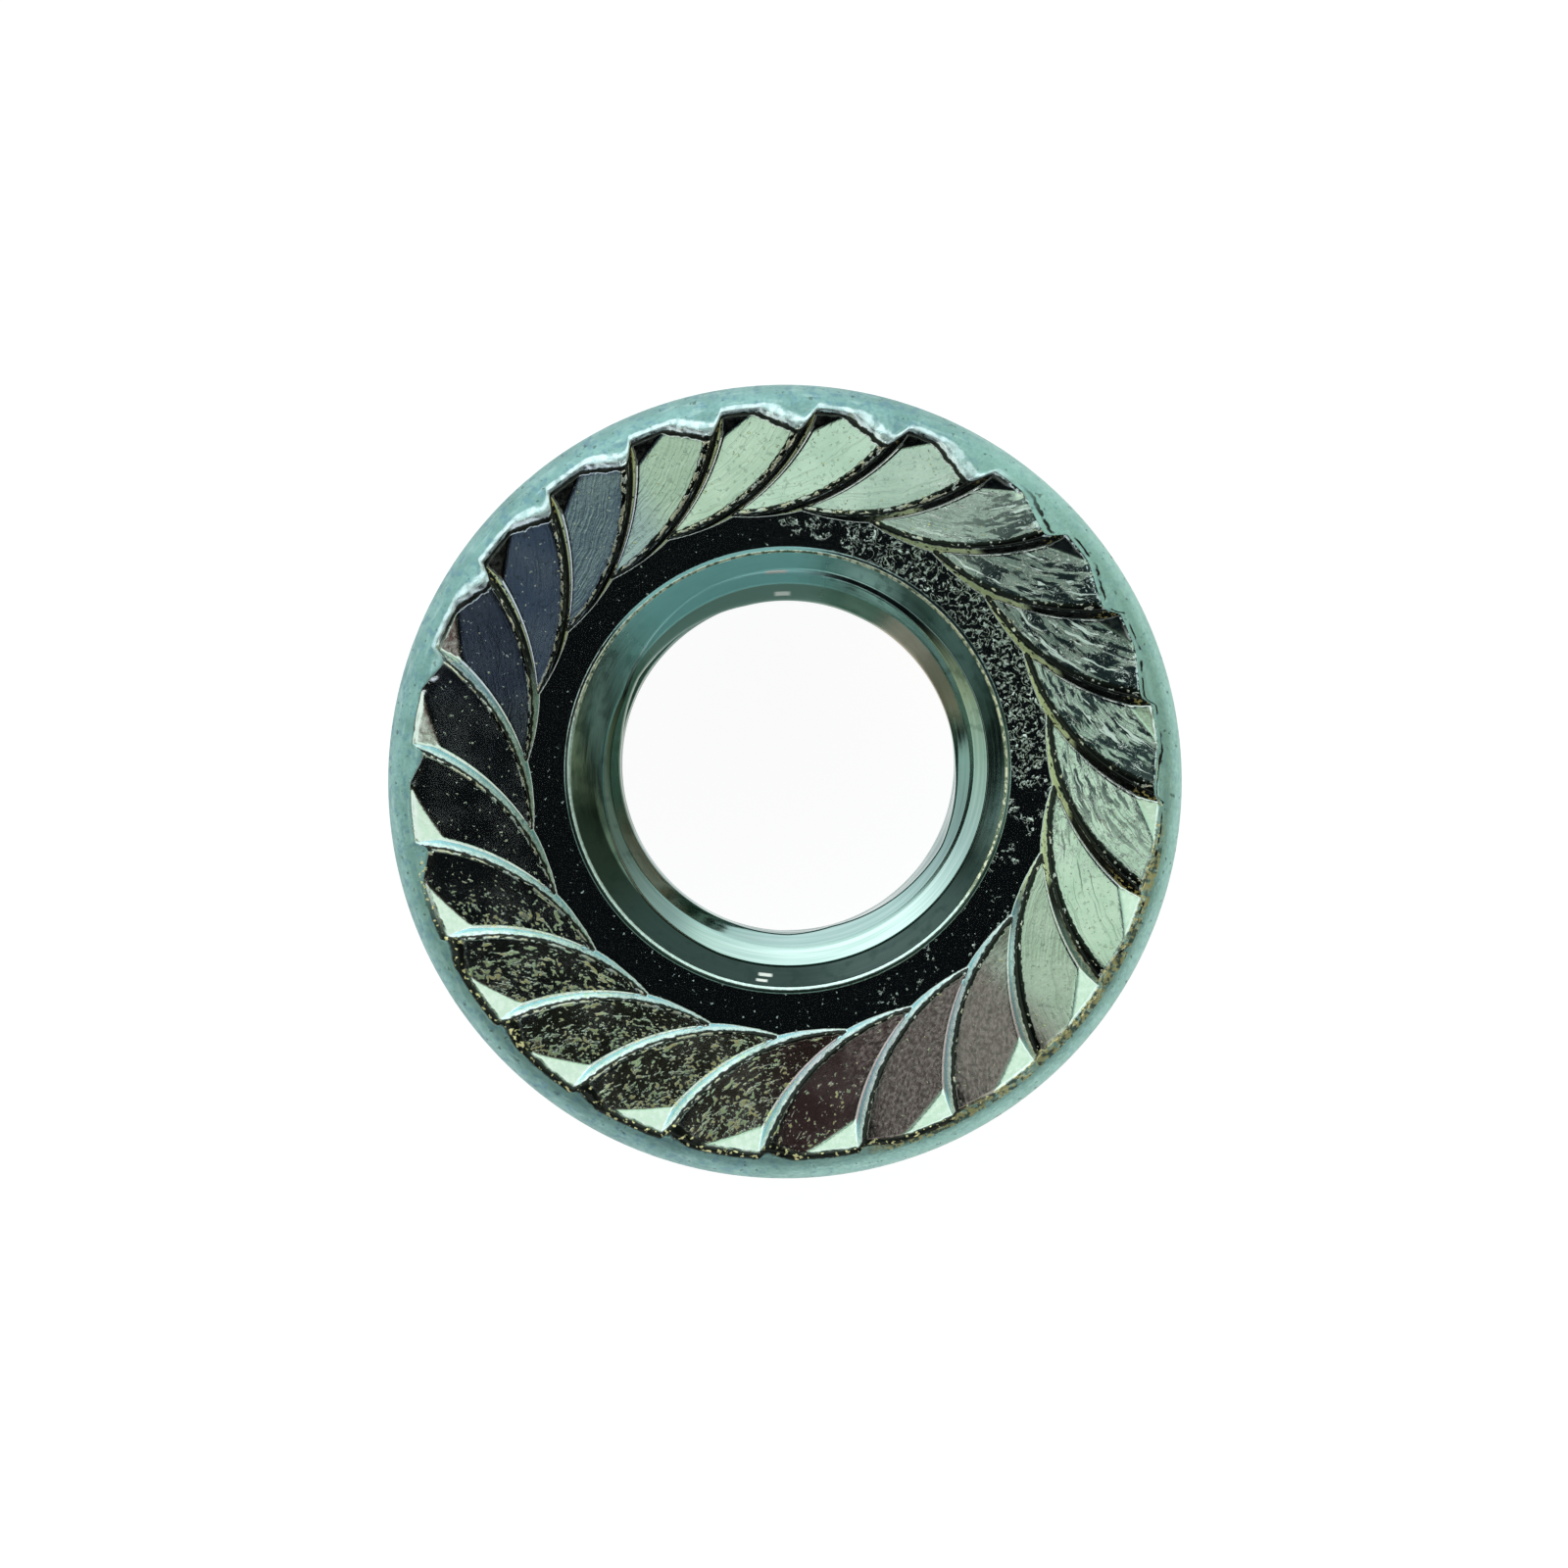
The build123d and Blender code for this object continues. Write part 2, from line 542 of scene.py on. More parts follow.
tangent = ROOT * np.tan(np.pi / 4 - BACK / 2)
root_xy = side_xy + outward * tangent * np.cos(BACK)
root_z = back_height(root_xy)
corner_z = back_height(side_xy)
last_rim = rim_rows[-1]
back_rows = []
for share in (0.06, 0.3, 0.6, 0.9, 1.0):
    xy = last_rim[:, :2] * (1 - share) + root_xy * share
    back_rows.append(np.column_stack([xy, back_height(xy)]))
for share in (0.2, 0.4, 0.6, 0.8, 1.0):
    # a quadratic curve from the cone, round the corner, to the side
    a, b, c = (1 - share) ** 2, 2 * share * (1 - share), share**2
    xy = a * root_xy + (b + c) * side_xy
    z = a * root_z + b * corner_z + c * (corner_z - tangent)
    back_rows.append(np.column_stack([xy, z]))
print("back rows:", len(back_rows))

# %% Hex sides, chamfer and the edge of the flat end
side_top = corner_z - tangent
chamfer_z = (side_r - CHAMFER_R) * np.tan(np.pi / 6)
side_rows = []
for share in (0.06, 0.3, 0.55, 0.8, 0.955, 0.985, 1.0):
    z = side_top + (chamfer_z - side_top) * share
    side_rows.append(np.column_stack([side_xy, z]))
for share in (0.06, 0.15, 0.5, 0.85, 0.95, 1.0):
    radius = side_r + (CHAMFER_R - side_r) * share
    z = chamfer_z * (1 - share)
    side_rows.append(np.column_stack([outward * radius[:, None], z]))
print("side rows:", len(side_rows))

# %% [markdown]
# ## Mouth, countersink and the thread's first turn
# Seen from above, the bore is a funnel: a rounded mouth, a 45 degree
# countersink and a steeper entry. A tap's first turn runs out on the funnel as
# a shallow band that narrows to nothing. Down to the entry the funnel is a
# height over radius and angle, so its rows can follow the edges of that band.

# %% Sizes of the mouth and the run-out
MOUTH_R = 5.26
MOUTH_ROUND = 0.17
MOUTH_C = np.array([-0.016, -0.146])
ENTRY_R = 4.36
ENTRY_DEPTH = 1.75
SHELF_TURNS = [0, 20, 40, 100, 160, 222, 264, 300, 345]
SHELF_TILT = [40, 46, 58, 60, 60, 58, 33, 33, 38]
# angle in degrees, then the radius where the band starts and where it ends
BAND_TURNS = np.array([115, 157, 170, 195, 225, 250, 380, 405, 440, 475])
BAND_OUTER = np.array([4.69, 4.31, 4.38, 4.49, 4.68, 4.77, 4.79, 4.73, 4.75, 4.69])
BAND_INNER = np.array([4.69, 4.24, 4.27, 4.33, 4.40, 4.45, 4.48, 4.57, 4.63, 4.69])
# the flank lies flatter at the top, where the tap broke into the cone
FLANK_TURNS = [70, 90, 140, 165]
FLANK_TILT = [30, 23, 23, 30]
# the crest of the first turn is uneven where the tap broke through
LIP_TURNS = [0, 30, 65, 105, 130, 150, 172, 215, 250, 270, 285, 315, 332, 360]
LIP_R = [4.0, 3.95, 3.91, 3.94, 4.06, 4.14, 4.03, 4.02, 4.03, 4.07, 4.01, 4.1, 4.15, 4.0]

print("the run-out band covers", BAND_TURNS[-1] - BAND_TURNS[0], "degrees")


# %% Edges of the band and of the lip at each angle
def band_edges(angle):
    """Outer and inner radius of the run-out band. Its turns go past a full
    circle, so an angle before the start is read one turn later."""
    turn = np.degrees(angle) % 360
    turn = np.where(turn < BAND_TURNS[0], turn + 360, turn)
    outer = np.interp(turn, BAND_TURNS, BAND_OUTER)
    inner = np.interp(turn, BAND_TURNS, BAND_INNER)
    return outer, np.minimum(inner, outer - 0.012)


def lip_radius(angle):
    """Radius of the first crest, where the entry ends."""
    return np.interp(np.degrees(angle) % 360, LIP_TURNS, LIP_R)


print("band radii at 0 degrees:", *np.round(band_edges(0.0), 2))

# %% Rows of the funnel
mouth_in = MOUTH_ROUND * np.tan(np.pi / 8)
outer_edge, inner_edge = band_edges(even_angles)
lip = lip_radius(even_angles)


def cone_height(radius):
    """Height of the countersink, which falls as fast as it narrows."""
    return LAND_Z - (MOUTH_R - radius)


def funnel_row(radius, z):
    """A row whose centre moves from the mouth's to the thread's axis as the
    radius falls from the mouth's to the entry's."""
    share = np.clip((radius - ENTRY_R) / (MOUTH_R - ENTRY_R), 0, 1)
    radius = np.broadcast_to(radius, even_angles.shape)
    return np.stack(
        [
            MOUTH_C[0] * share + radius * np.cos(even_angles),
            MOUTH_C[1] * share + radius * np.sin(even_angles),
            np.broadcast_to(z, even_angles.shape),
        ],
        -1,
    )


print("countersink ends at z", round(cone_height(ENTRY_R), 2))

# %% Rounded mouth and countersink
funnel_rows = []
for turn in np.linspace(0, np.pi / 4, 7):
    radius = MOUTH_R + mouth_in - MOUTH_ROUND * np.sin(turn)
    drop = MOUTH_ROUND * (1 - np.cos(turn))
    funnel_rows.append(funnel_row(radius, LAND_Z - drop))
cone_top = MOUTH_R + mouth_in - MOUTH_ROUND * np.sin(np.pi / 4)
for share in (0.06, 0.25, 0.5, 0.75, 0.94, 1.0):
    radius = cone_top + (outer_edge + 0.012 - cone_top) * share
    funnel_rows.append(funnel_row(radius, cone_height(radius)))
print("rows of the mouth and the countersink:", len(funnel_rows))

# %% The tap's run-out band
flank = np.radians(np.interp(np.degrees(even_angles), FLANK_TURNS, FLANK_TILT, period=360))
cone_end = np.minimum(ENTRY_R, inner_edge - 0.03)
for share in (0.0, 0.1, 0.3, 0.55, 0.8, 1.0):
    # the flank leans less than the cone, so it starts below it at a small step
    radius = outer_edge + (inner_edge - outer_edge) * share
    z = cone_height(inner_edge) + (radius - inner_edge) * np.tan(flank)
    funnel_rows.append(funnel_row(radius, z))
for share in (0.25, 0.6, 0.9, 1.0):
    radius = inner_edge + (cone_end - inner_edge) * share
    funnel_rows.append(funnel_row(radius, cone_height(radius)))
print("rows down to the entry:", len(funnel_rows))

# %% Entry and lip
# the entry is flatter at the bottom and the right, where a second turn shows its flank
shelf_tilt = np.interp(np.degrees(even_angles), SHELF_TURNS, SHELF_TILT, period=360)
shelf_tilt = np.radians(shelf_tilt)
shelf_end = lip + 0.05
shelf_top = cone_height(cone_end)
shelf_z = shelf_top - (cone_end - shelf_end) * np.tan(shelf_tilt)
entry_z = LAND_Z - ENTRY_DEPTH
for share in (0.06, 0.3, 0.55, 0.8, 1.0):
    radius = cone_end + (shelf_end - cone_end) * share
    funnel_rows.append(funnel_row(radius, shelf_top + (shelf_z - shelf_top) * share))
bend_z = shelf_z - (shelf_end - lip) * np.tan(shelf_tilt)
for share in (0.25, 0.5, 0.75, 1.0):
    # a quadratic curve: on along the shelf, then straight down the bore
    a, b, c = (1 - share) ** 2, 2 * share * (1 - share), share**2
    radius = a * shelf_end + (1 - a) * lip
    funnel_rows.append(funnel_row(radius, a * shelf_z + b * bend_z + c * (bend_z - 0.08)))
funnel_rows.append(funnel_row(lip, entry_z))
print("funnel rows:", len(funnel_rows), "entry ends at z", entry_z)

# %% [markdown]
# ## Thread
# Below the entry the bore is threaded. A profile could be swept along a helix,
# but then it would have to be cut out of the bore. The groove climbs one pitch
# a turn, so for any angle and height the distance to its middle is known, and
# the bore's radius there is one formula.

# %% Radius of the threaded bore
GROOVE_FLAT = PITCH / 8
GROOVE_AT = 7.0
LOWER_MOUTH_R = 5.29
LOWER_CONE_Z = 1.3
FADE_DEPTH = 0.35


def bore_radius(angle, z):
    """The widest of the drilled hole, the groove and the lower countersink. The
    groove's flanks fall from the major radius by 1.732 times the height past
    its flat bottom; near the entry the groove fades into the lip."""
    middle = GROOVE_AT + PITCH * angle / (2 * np.pi)
    away = (z - middle + PITCH / 2) % PITCH - PITCH / 2
    flank = MAJOR_R - np.sqrt(3) * soft_max(np.abs(away) - GROOVE_FLAT / 2, 0.0, 0.03)
    hole = soft_max(flank, BORE_R, 0.03)
    lower = LOWER_MOUTH_R - z
    cut = soft_max(hole, lower, 0.02)
    fade = np.clip((entry_z - z) / FADE_DEPTH, 0, 1) ** 0.7
    return lip * (1 - fade) + cut * fade


cone_z = np.linspace(mouth_in * np.sqrt(0.5), LOWER_CONE_Z, 10)
thread_z = np.linspace(LOWER_CONE_Z, entry_z, 60)[1:-1]
bore_z = np.concatenate([cone_z, thread_z])
bore_rows = [circle_row(bore_radius(even_angles, z), z, (0, 0), even_angles) for z in bore_z]
print("thread rows:", len(bore_rows))

# %% Lower mouth and the land
FLAT_END_R = (6.64, 6.3, 5.8, 5.45)
lower_rows = [circle_row(r, 0.0, (0, 0), even_angles) for r in FLAT_END_R]
for turn in np.linspace(0, np.pi / 4, 7)[:-1]:
    radius = LOWER_MOUTH_R + mouth_in - MOUTH_ROUND * np.sin(turn)
    lower_rows.append(circle_row(radius, MOUTH_ROUND * (1 - np.cos(turn)), (0, 0), even_angles))
inner_a = ring_a[0][::3]
land_a = match(inner_a, even_angles)
land_rows = []
for share in (0.95, 0.85, 0.65, 0.45, 0.25, 0.08):
    radius = (MOUTH_R + mouth_in) * (1 - share) + RING_INNER * share
    angle = land_a + (inner_a - land_a) * min(share * 1.1, 1)
    centre = TOOTH_C * share + MOUTH_C * (1 - share)
    land_rows.append(circle_row(radius, LAND_Z, centre, angle))
bore_side = lower_rows + bore_rows + funnel_rows[::-1] + land_rows[::-1]
print("rows up through the bore:", len(bore_side))

# %% [markdown]
# ## One closed mesh
# The rings of vertices are stitched in order round the section: out over the
# teeth, down the rim and the hex, and back up through the bore to the land.
# Where 720 columns meet 240, each coarse face takes three fine edges.

# %% Faces between two rings
def stitch(first, second):
    """Faces between two rings with the same number of vertices."""
    return np.stack([first, second, np.roll(second, -1), np.roll(first, -1)], -1)


def stitch_fine_to_coarse(fine, coarse):
    """Faces where three fine edges meet one coarse edge: two triangles and a
    four-sided face for each coarse edge."""
    f = fine.reshape(-1, 3)
    after, beyond = np.roll(coarse, -1), np.roll(f[:, 0], -1)
    quads = np.stack([f[:, 1], coarse, after, f[:, 2]], -1)
    triangles = np.concatenate(
        [
            np.stack([f[:, 0], coarse, f[:, 1]], -1),
            np.stack([f[:, 2], after, beyond], -1),
        ]
    )
    return quads, triangles


def nearest_roll(first, second, points):
    """second's indices, rolled so that each vertex meets the nearest of first."""
    a, b = (np.arctan2(points[ring, 1], points[ring, 0]) for ring in (first, second))
    return np.roll(second, best_roll(a, b))


print("faces between two rings of three:", stitch(np.arange(3), np.arange(3, 6)).tolist())


# %% Number the vertices
ring_points = np.stack([ring_x, ring_y, ring_z], -1)
coarse_rows = np.array(rim_rows + back_rows + side_rows + bore_side)
points = np.concatenate([ring_points.reshape(-1, 3), coarse_rows.reshape(-1, 3)])
fine_ids = np.arange(ring_points.shape[0] * TEETH * COLUMNS).reshape(ring_points.shape[:2])
coarse_ids = fine_ids.size + np.arange(len(coarse_rows) * BODY).reshape(-1, BODY)
print("vertices:", len(points))

# %% Stitch the rings into a closed mesh
quads, triangles = [], []
for one, two in zip(fine_ids[:-1], fine_ids[1:]):
    quads.append(stitch(one, two))
made_quads, made_triangles = stitch_fine_to_coarse(fine_ids[-1], coarse_ids[0])
quads.append(made_quads)
triangles.append(made_triangles)
for index in range(len(coarse_ids) - 1):
    coarse_ids[index + 1] = nearest_roll(coarse_ids[index], coarse_ids[index + 1], points)
    quads.append(stitch(coarse_ids[index], coarse_ids[index + 1]))
first_columns = fine_ids[0].reshape(-1, 3)[:, 0]
start = nearest_roll(coarse_ids[-1], first_columns, points)[0]
fine_start = np.roll(fine_ids[0], -int(start))
made_quads, made_triangles = stitch_fine_to_coarse(fine_start, coarse_ids[-1])
quads.append(made_quads[:, ::-1])
triangles.append(made_triangles[:, ::-1])
quads = np.concatenate(quads)
triangles = np.concatenate(triangles)
print("faces as triangles:", 2 * len(quads) + len(triangles))

# %% Make the nut's mesh
mesh = bpy.data.meshes.new("flange_nut_visual")
mesh.from_pydata((points * MM).tolist(), [], quads.tolist() + triangles.tolist())
mesh.polygons.foreach_set("use_smooth", np.ones(len(mesh.polygons), bool))
mesh.update()
nut = bpy.data.objects.new("flange_nut_visual", mesh)
scene.collection.objects.link(nut)
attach(nut, "root")
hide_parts("flange_nut")
print("made", nut.name, "with", len(mesh.polygons), "faces")


# %% Check that the mesh is closed and faces outward
def signed_volume(co, faces):
    """A sixth of the sum of the triple products of every face's corners. It is
    positive when the faces point outward."""
    a, b, c = co[faces[:, 0]], co[faces[:, 1]], co[faces[:, 2]]
    return np.einsum("ij,ij->i", a, np.cross(b, c)).sum() / 6


whole = np.concatenate([quads[:, [0, 1, 2]], quads[:, [0, 2, 3]], triangles])
print("volume, mm3:", signed_volume(points, whole).round(1))

# %% [markdown]
# ## What the finish needs to know
# The finish changes with the way each place was made: pressed by the die, cut
# by the tap, or only plated. The mesh knows this, so it keeps a few numbers at
# each vertex for the material to read: how far the surface lies under the
# rim's own shape, how far it is from a tooth's edge, and where it lies on the
# round print of its tooth.

# %% Numbers kept at the vertices
NOISE_APART = 7.3


def for_all(ring_value, elsewhere):
    """One value for each vertex: the ring's own, and one number elsewhere."""
    return np.concatenate([ring_value.ravel(), np.full(coarse_ids.size, elsewhere)])


in_bore = np.zeros(coarse_rows.shape[:2])
first_bore = len(rim_rows) + len(back_rows) + len(side_rows) + len(FLAT_END_R)
in_bore[first_bore : -len(land_rows)] = 1.0
pressed_land = np.ones(coarse_rows.shape[:2])
pressed_land[-len(land_rows) :] = -1.0

along, across = disc_coordinates(ring_x, ring_y, ring_owner)
print_r = np.hypot(along, across)
print_arc = np.arctan2(across, along) * DISC_R
numbers = {
    "cover": np.concatenate([ring_cover.ravel(), pressed_land.ravel()]),
    "above": for_all(ring_above, -1.0),
    "edge": for_all(ring_edge * np.tan(DRAFT), 1.0),
    "bore": np.concatenate([np.zeros(ring_x.size), in_bore.ravel()]),
    "print_r": for_all(print_r, 0.0),
    "print_arc": for_all(print_arc, 0.0),
    "tooth": for_all((ring_owner % TEETH) * NOISE_APART, 0.0),
}
for name, values in numbers.items():
    kept = mesh.attributes.new(name, "FLOAT", "POINT")
    kept.data.foreach_set("value", values.astype(np.float32))
    print(name, values.min().round(2), values.max().round(2))

# %% [markdown]
# ## A small kit for materials
# The materials are procedural: noise, bands and scratches worked out at each
# point from its place on the nut. The nodes could be linked by hand in the
# editor, but there are some hundreds of them. A short kit keeps them readable,
# with one call for each node.

# %% Kit for sums of nodes
class Sums:
    """Adds nodes to one tree. An input may be a number, a colour or a socket."""

    def __init__(self, tree):
        self.tree = tree

    def add(self, kind, inputs, output=0, **settings):
        """A node of any kind: its inputs are set or linked, and one output is
        given back."""
        node = self.tree.nodes.new("ShaderNode" + kind)
        for name, value in settings.items():
            setattr(node, name, value)
        for key, value in inputs.items():
            if isinstance(value, bpy.types.NodeSocket):
                self.tree.links.new(value, node.inputs[key])
            else:
                node.inputs[key].default_value = value
        return node.outputs[output]

    def math(self, operation, first, *others):
        """A chain of Math nodes, each of which takes in one more value."""
        for other in others or (0.0,):
            first = self.add("Math", {0: first, 1: other}, operation=operation)
        return first

    def times(self, *values):
        """The product of all values."""
        return self.math("MULTIPLY", *values)

    def plus(self, *values):
        """The sum of all values."""
        return self.math("ADD", *values)

    def minus(self, *values):
        """The first value less all the others."""
        return self.math("SUBTRACT", *values)

    def most(self, *values):
        """The greatest of the values."""
        return self.math("MAXIMUM", *values)

    def join(self, x, y, z):
        """Three numbers as one vector."""
        return self.add("CombineXYZ", {0: x, 1: y, 2: z})


print("materials so far:", len(bpy.data.materials))


# %% Kit for patterns and mixes
class Shading(Sums):
    """Noise, steps, mixes and ramps on top of the sums."""

    def noise(self, vector, scale, detail=2.0, twist=0.0):
        """Soft random spots between 0 and 1, mostly near a half."""
        inputs = {"Vector": vector, "Scale": scale, "Detail": detail, "Distortion": twist}
        return self.add("TexNoise", inputs, "Fac")

    def step(self, value, low, high, to_low=0.0, to_high=1.0):
        """A smooth step between two values of the input."""
        inputs = {0: value, 1: low, 2: high, 3: to_low, 4: to_high}
        return self.add("MapRange", inputs, interpolation_type="SMOOTHSTEP")

    def mix(self, factor, a, b):
        """The number a where the factor is 0, and b where it is 1."""
        return self.add("Mix", {0: factor, 2: a, 3: b}, 0, data_type="FLOAT")

    def mix_colour(self, factor, a, b):
        """Mix two colours, each one a socket or red, green and blue."""
        a, b = ((*c, 1) if isinstance(c, tuple) else c for c in (a, b))
        return self.add("Mix", {0: factor, 6: a, 7: b}, 2, data_type="RGBA")

    def ramp(self, value, stops):
        """A colour ramp through (position, colour) stops."""
        colour = self.add("ValToRGB", {0: value})
        band = colour.node.color_ramp
        while len(band.elements) < len(stops):
            band.elements.new(0.5)
        for element, (position, _) in zip(band.elements, stops):
            element.position = position
        for element, (_, shade) in zip(band.elements, stops):
            element.color = (*shade, 1)
        return colour

    def surface(self, shader):
        """Put a shader in the place of the Principled one."""
        self.tree.nodes.remove(self.tree.nodes["Principled BSDF"])
        self.tree.links.new(shader, self.tree.nodes["Material Output"].inputs["Surface"])


def new_material(name, kit=Shading):
    made = bpy.data.materials.new(name)
    made.use_nodes = True
    return made, kit(made.node_tree)


print("kinds of nodes it adds:", [name for name in vars(Shading) if name[0] != "_"])


# %% [markdown]
# ## Where a point lies on the nut
# Patterns follow the way each surface was made, so the material needs the
# angle and the distance about the thread's axis. Wear and dirt also differ
# from one side of the nut to another, and so do the painted light and shade,
# so each kind of mark has a mask that holds it to its own side.

# %% Kit that knows the nut
def polar(s, place):
    """Distance from the Z axis and angle about it, in radians."""
    x, y = (s.add("SeparateXYZ", {0: place}, axis) for axis in (0, 1))
    return s.math("SQRT", s.plus(s.times(x, x), s.times(y, y))), s.math("ARCTAN2", y, x)


class NutShading(Shading):
    """Shading with the point's place on the nut, in mm and radians, and with the
    numbers kept at the vertices."""

    def __init__(self, tree):
        super().__init__(tree)
        place = self.add("TexCoord", {}, "Object")
        self.place = self.add("VectorMath", {0: place, "Scale": 1 / MM}, operation="SCALE")
        self.height = self.add("SeparateXYZ", {0: self.place}, 2)
        self.radius, self.angle = polar(self, self.place)
        for name in numbers:
            setattr(self, name, self.add("Attribute", {}, "Fac", attribute_name=name))

    def mottle(self, scale, detail=2.0, twist=0.0):
        """Noise at the point's place, with about scale spots in a mm."""
        return self.noise(self.place, scale, detail, twist)

    def near_turn(self, centre, half, soft=12.0):
        """1 within half degrees of a direction, falling to 0 over soft degrees."""
        cosine = self.math("COSINE", self.minus(self.angle, float(np.radians(centre))))
        low, high = np.cos(np.radians([half + soft, half]))
        return self.step(cosine, float(low), float(high))

    def on_line(self, at, middle, half):
        """1 near a line, falling to 0 between 0.8 and 1.6 times half."""
        away = self.math("ABSOLUTE", self.minus(at, middle))
        return self.step(away, half * 1.6, half * 0.8)

    def below_land(self, high, low):
        """0 at the first depth under the land and 1 at the second, in mm."""
        return self.step(self.height, LAND_Z - high, LAND_Z - low)


print("attributes for the finishes:", len(numbers))


# %% The nut's material and the colours of painted shade
zinc, s = new_material("zinc_plate", NutShading)
# painted shade: black for the shaded sides of the walls and the dish, and for dark lines along the
# crests and the border
SHADED_SIDE = (0.02, 0.022, 0.02)
SHADED_LINE = (0.03, 0.035, 0.03)
print("nodes that place a point:", len(s.tree.nodes))

# %% [markdown]
# ## Plated steel
# The rim, the back and the hex keep the skin that plating gives them, a pale
# blue-green satin. A picture wrapped round the nut would need seams. Mottling
# worked out from noise has none, and the roughness makes it satin.

# %% Plated steel where the die did not reach
def satin_plate(s):
    """Rim, back and hex: a pale blue-green satin with soft mottling and a few
    dark pores, paler on the right, with streaks that run round the rim."""
    cloud = s.mottle(1.3, 4.0)
    blotch = s.mottle(4.5, 3.0)
    grain = s.mottle(11.0, 4.0)
    streak = s.noise(s.join(s.times(s.angle, 14.0), s.times(s.radius, 9.0), 1.0), 1.0, 3.0)
    streak = s.times(s.step(streak, 0.52, 0.70), s.step(s.radius, 8.2, 8.7, 0.15, 0.55))
    pores = s.step(s.mottle(6.0), 0.66, 0.71)
    colour = s.mix_colour(s.step(cloud, 0.35, 0.68), (0.25, 0.44, 0.42), (0.32, 0.54, 0.52))
    for mask, tint in (
        (s.step(blotch, 0.50, 0.66, 0.0, 0.8), (0.20, 0.37, 0.43)),
        (streak, (0.46, 0.66, 0.64)),
        (s.times(s.near_turn(345, 60, 30), 0.45), (0.52, 0.82, 0.70)),
        (s.times(pores, 0.7), (0.10, 0.15, 0.13)),
    ):
        colour = s.mix_colour(mask, colour, tint)
    height = s.plus(s.times(cloud, 0.014), s.times(grain, 0.012))
    return colour, s.step(grain, 0.3, 0.7, 0.42, 0.58), height


plate = satin_plate(s)
print("nodes with the plate:", len(s.tree.nodes))


# %% [markdown]
# ## Lines that follow the tool
# The die was turned on a lathe, and every leaf carries the print of its lines.
# The numbers kept at the vertices say where a point lies along and across that
# print, so noise that is stretched in those two directions runs as they do.

# %% Lines and wrinkles
def leaf_lines(s, across, along, shift=0.0):
    """Marks that follow the die's turned lines: noise stretched along arcs about
    the tooth's own centre. across and along are how many there are in a mm, and
    shift gives another set of the same kind."""
    bend = s.times(s.mottle(1.6), 0.25)
    depth = s.times(s.plus(s.print_r, bend), across)
    arc = s.times(s.print_arc, along)
    return s.noise(s.join(depth, arc, s.plus(s.tooth, shift)), 1.0, 4.0)


def wrinkles(s, scale, width):
    """Thin crossing wrinkles: the places where a twisted noise is near a half,
    broken up by a second noise."""
    twisted = s.mottle(scale, 3.0, 1.2)
    line = s.step(s.math("ABSOLUTE", s.minus(twisted, 0.5)), width, width * 0.3)
    return s.times(line, s.step(s.mottle(scale * 0.7), 0.42, 0.52))


fine_lines = leaf_lines(s, 16.0, 0.5)
dashes = leaf_lines(s, 8.5, 2.2)
speckle = leaf_lines(s, 14.0, 7.5)
print("nodes with the lines:", len(s.tree.nodes))


# %% [markdown]
# ## The leaves of the teeth
# A leaf is the flat print of the die, and it mirrors a single card of the
# tent. The marks on it change round the ring: scores and bright creases at the
# right, gold specks at the lower left, and at the lower right a duller finish
# with a brown tint that paints a reflection.
# They could be painted on a picture, but masks made of noise stay sharp from
# near. Each kind of mark is one mask, laid over the plain plate in turn.

# %% Gold specks of the lower left
def gold_specks(s):
    """Where the specks lie and their colour. They crowd away from the crest,
    thin out towards the other sides, and a few stray over all leaves."""
    speckled = s.near_turn(240, 22, 26)
    far = s.step(s.edge, -0.15, -0.9)
    crowded = s.times(s.step(s.mottle(2.2, 3.0), 0.38, 0.56), far)
    fewer = s.mix(speckled, 0.14, 0.0)
    low, high = s.mix(crowded, 0.63, 0.53), s.mix(crowded, 0.66, 0.56)
    spots = s.step(s.minus(speckle, fewer), low, high)
    struck = s.step(s.minus(dashes, fewer), 0.60, 0.63)
    struck = s.times(struck, s.mix(far, 1.0, 0.4))
    specks = s.times(s.most(spots, struck), s.step(speckled, 0.0, 0.25))
    stray = s.times(s.step(s.mottle(9.0), 0.69, 0.73), 0.8)
    tint = s.step(s.mottle(3.0), 0.42, 0.58)
    return s.most(specks, stray), s.mix_colour(tint, (0.80, 1.0, 0.58), (1.0, 0.93, 0.45))


specks, gold = gold_specks(s)
print("nodes with the specks:", len(s.tree.nodes))


# %% Scores of the right
def scores(s):
    """Dark dents, closest together by the crest and the rim, and the bright
    creases that cross them; beside them only thin dark lines."""
    scored = s.near_turn(21, 18, 24)
    lined = s.near_turn(356, 15, 14)
    by_crest = s.step(s.edge, -1.7, -0.3)
    shadowed = s.times(scored, by_crest, s.step(s.radius, 6.8, 8.4, 0.4, 1.0))
    strokes = leaf_lines(s, 7.5, 1.4, 3.7)
    low, high = s.mix(shadowed, 0.58, 0.36), s.mix(shadowed, 0.63, 0.42)
    dents = s.times(s.step(strokes, low, high), scored)
    dark = s.most(dents, s.times(s.step(fine_lines, 0.57, 0.64, 0.0, 0.5), lined))
    creases = s.times(wrinkles(s, 5.0, 0.022), s.mix(by_crest, 0.3, 1.0))
    long_lines = s.step(leaf_lines(s, 9.0, 0.6, 7.1), 0.60, 0.64)
    creases = s.most(creases, long_lines, s.step(dashes, 0.64, 0.67))
    return scored, dark, s.times(creases, scored)


scored, dents, creases = scores(s)
print("nodes with the scores:", len(s.tree.nodes))


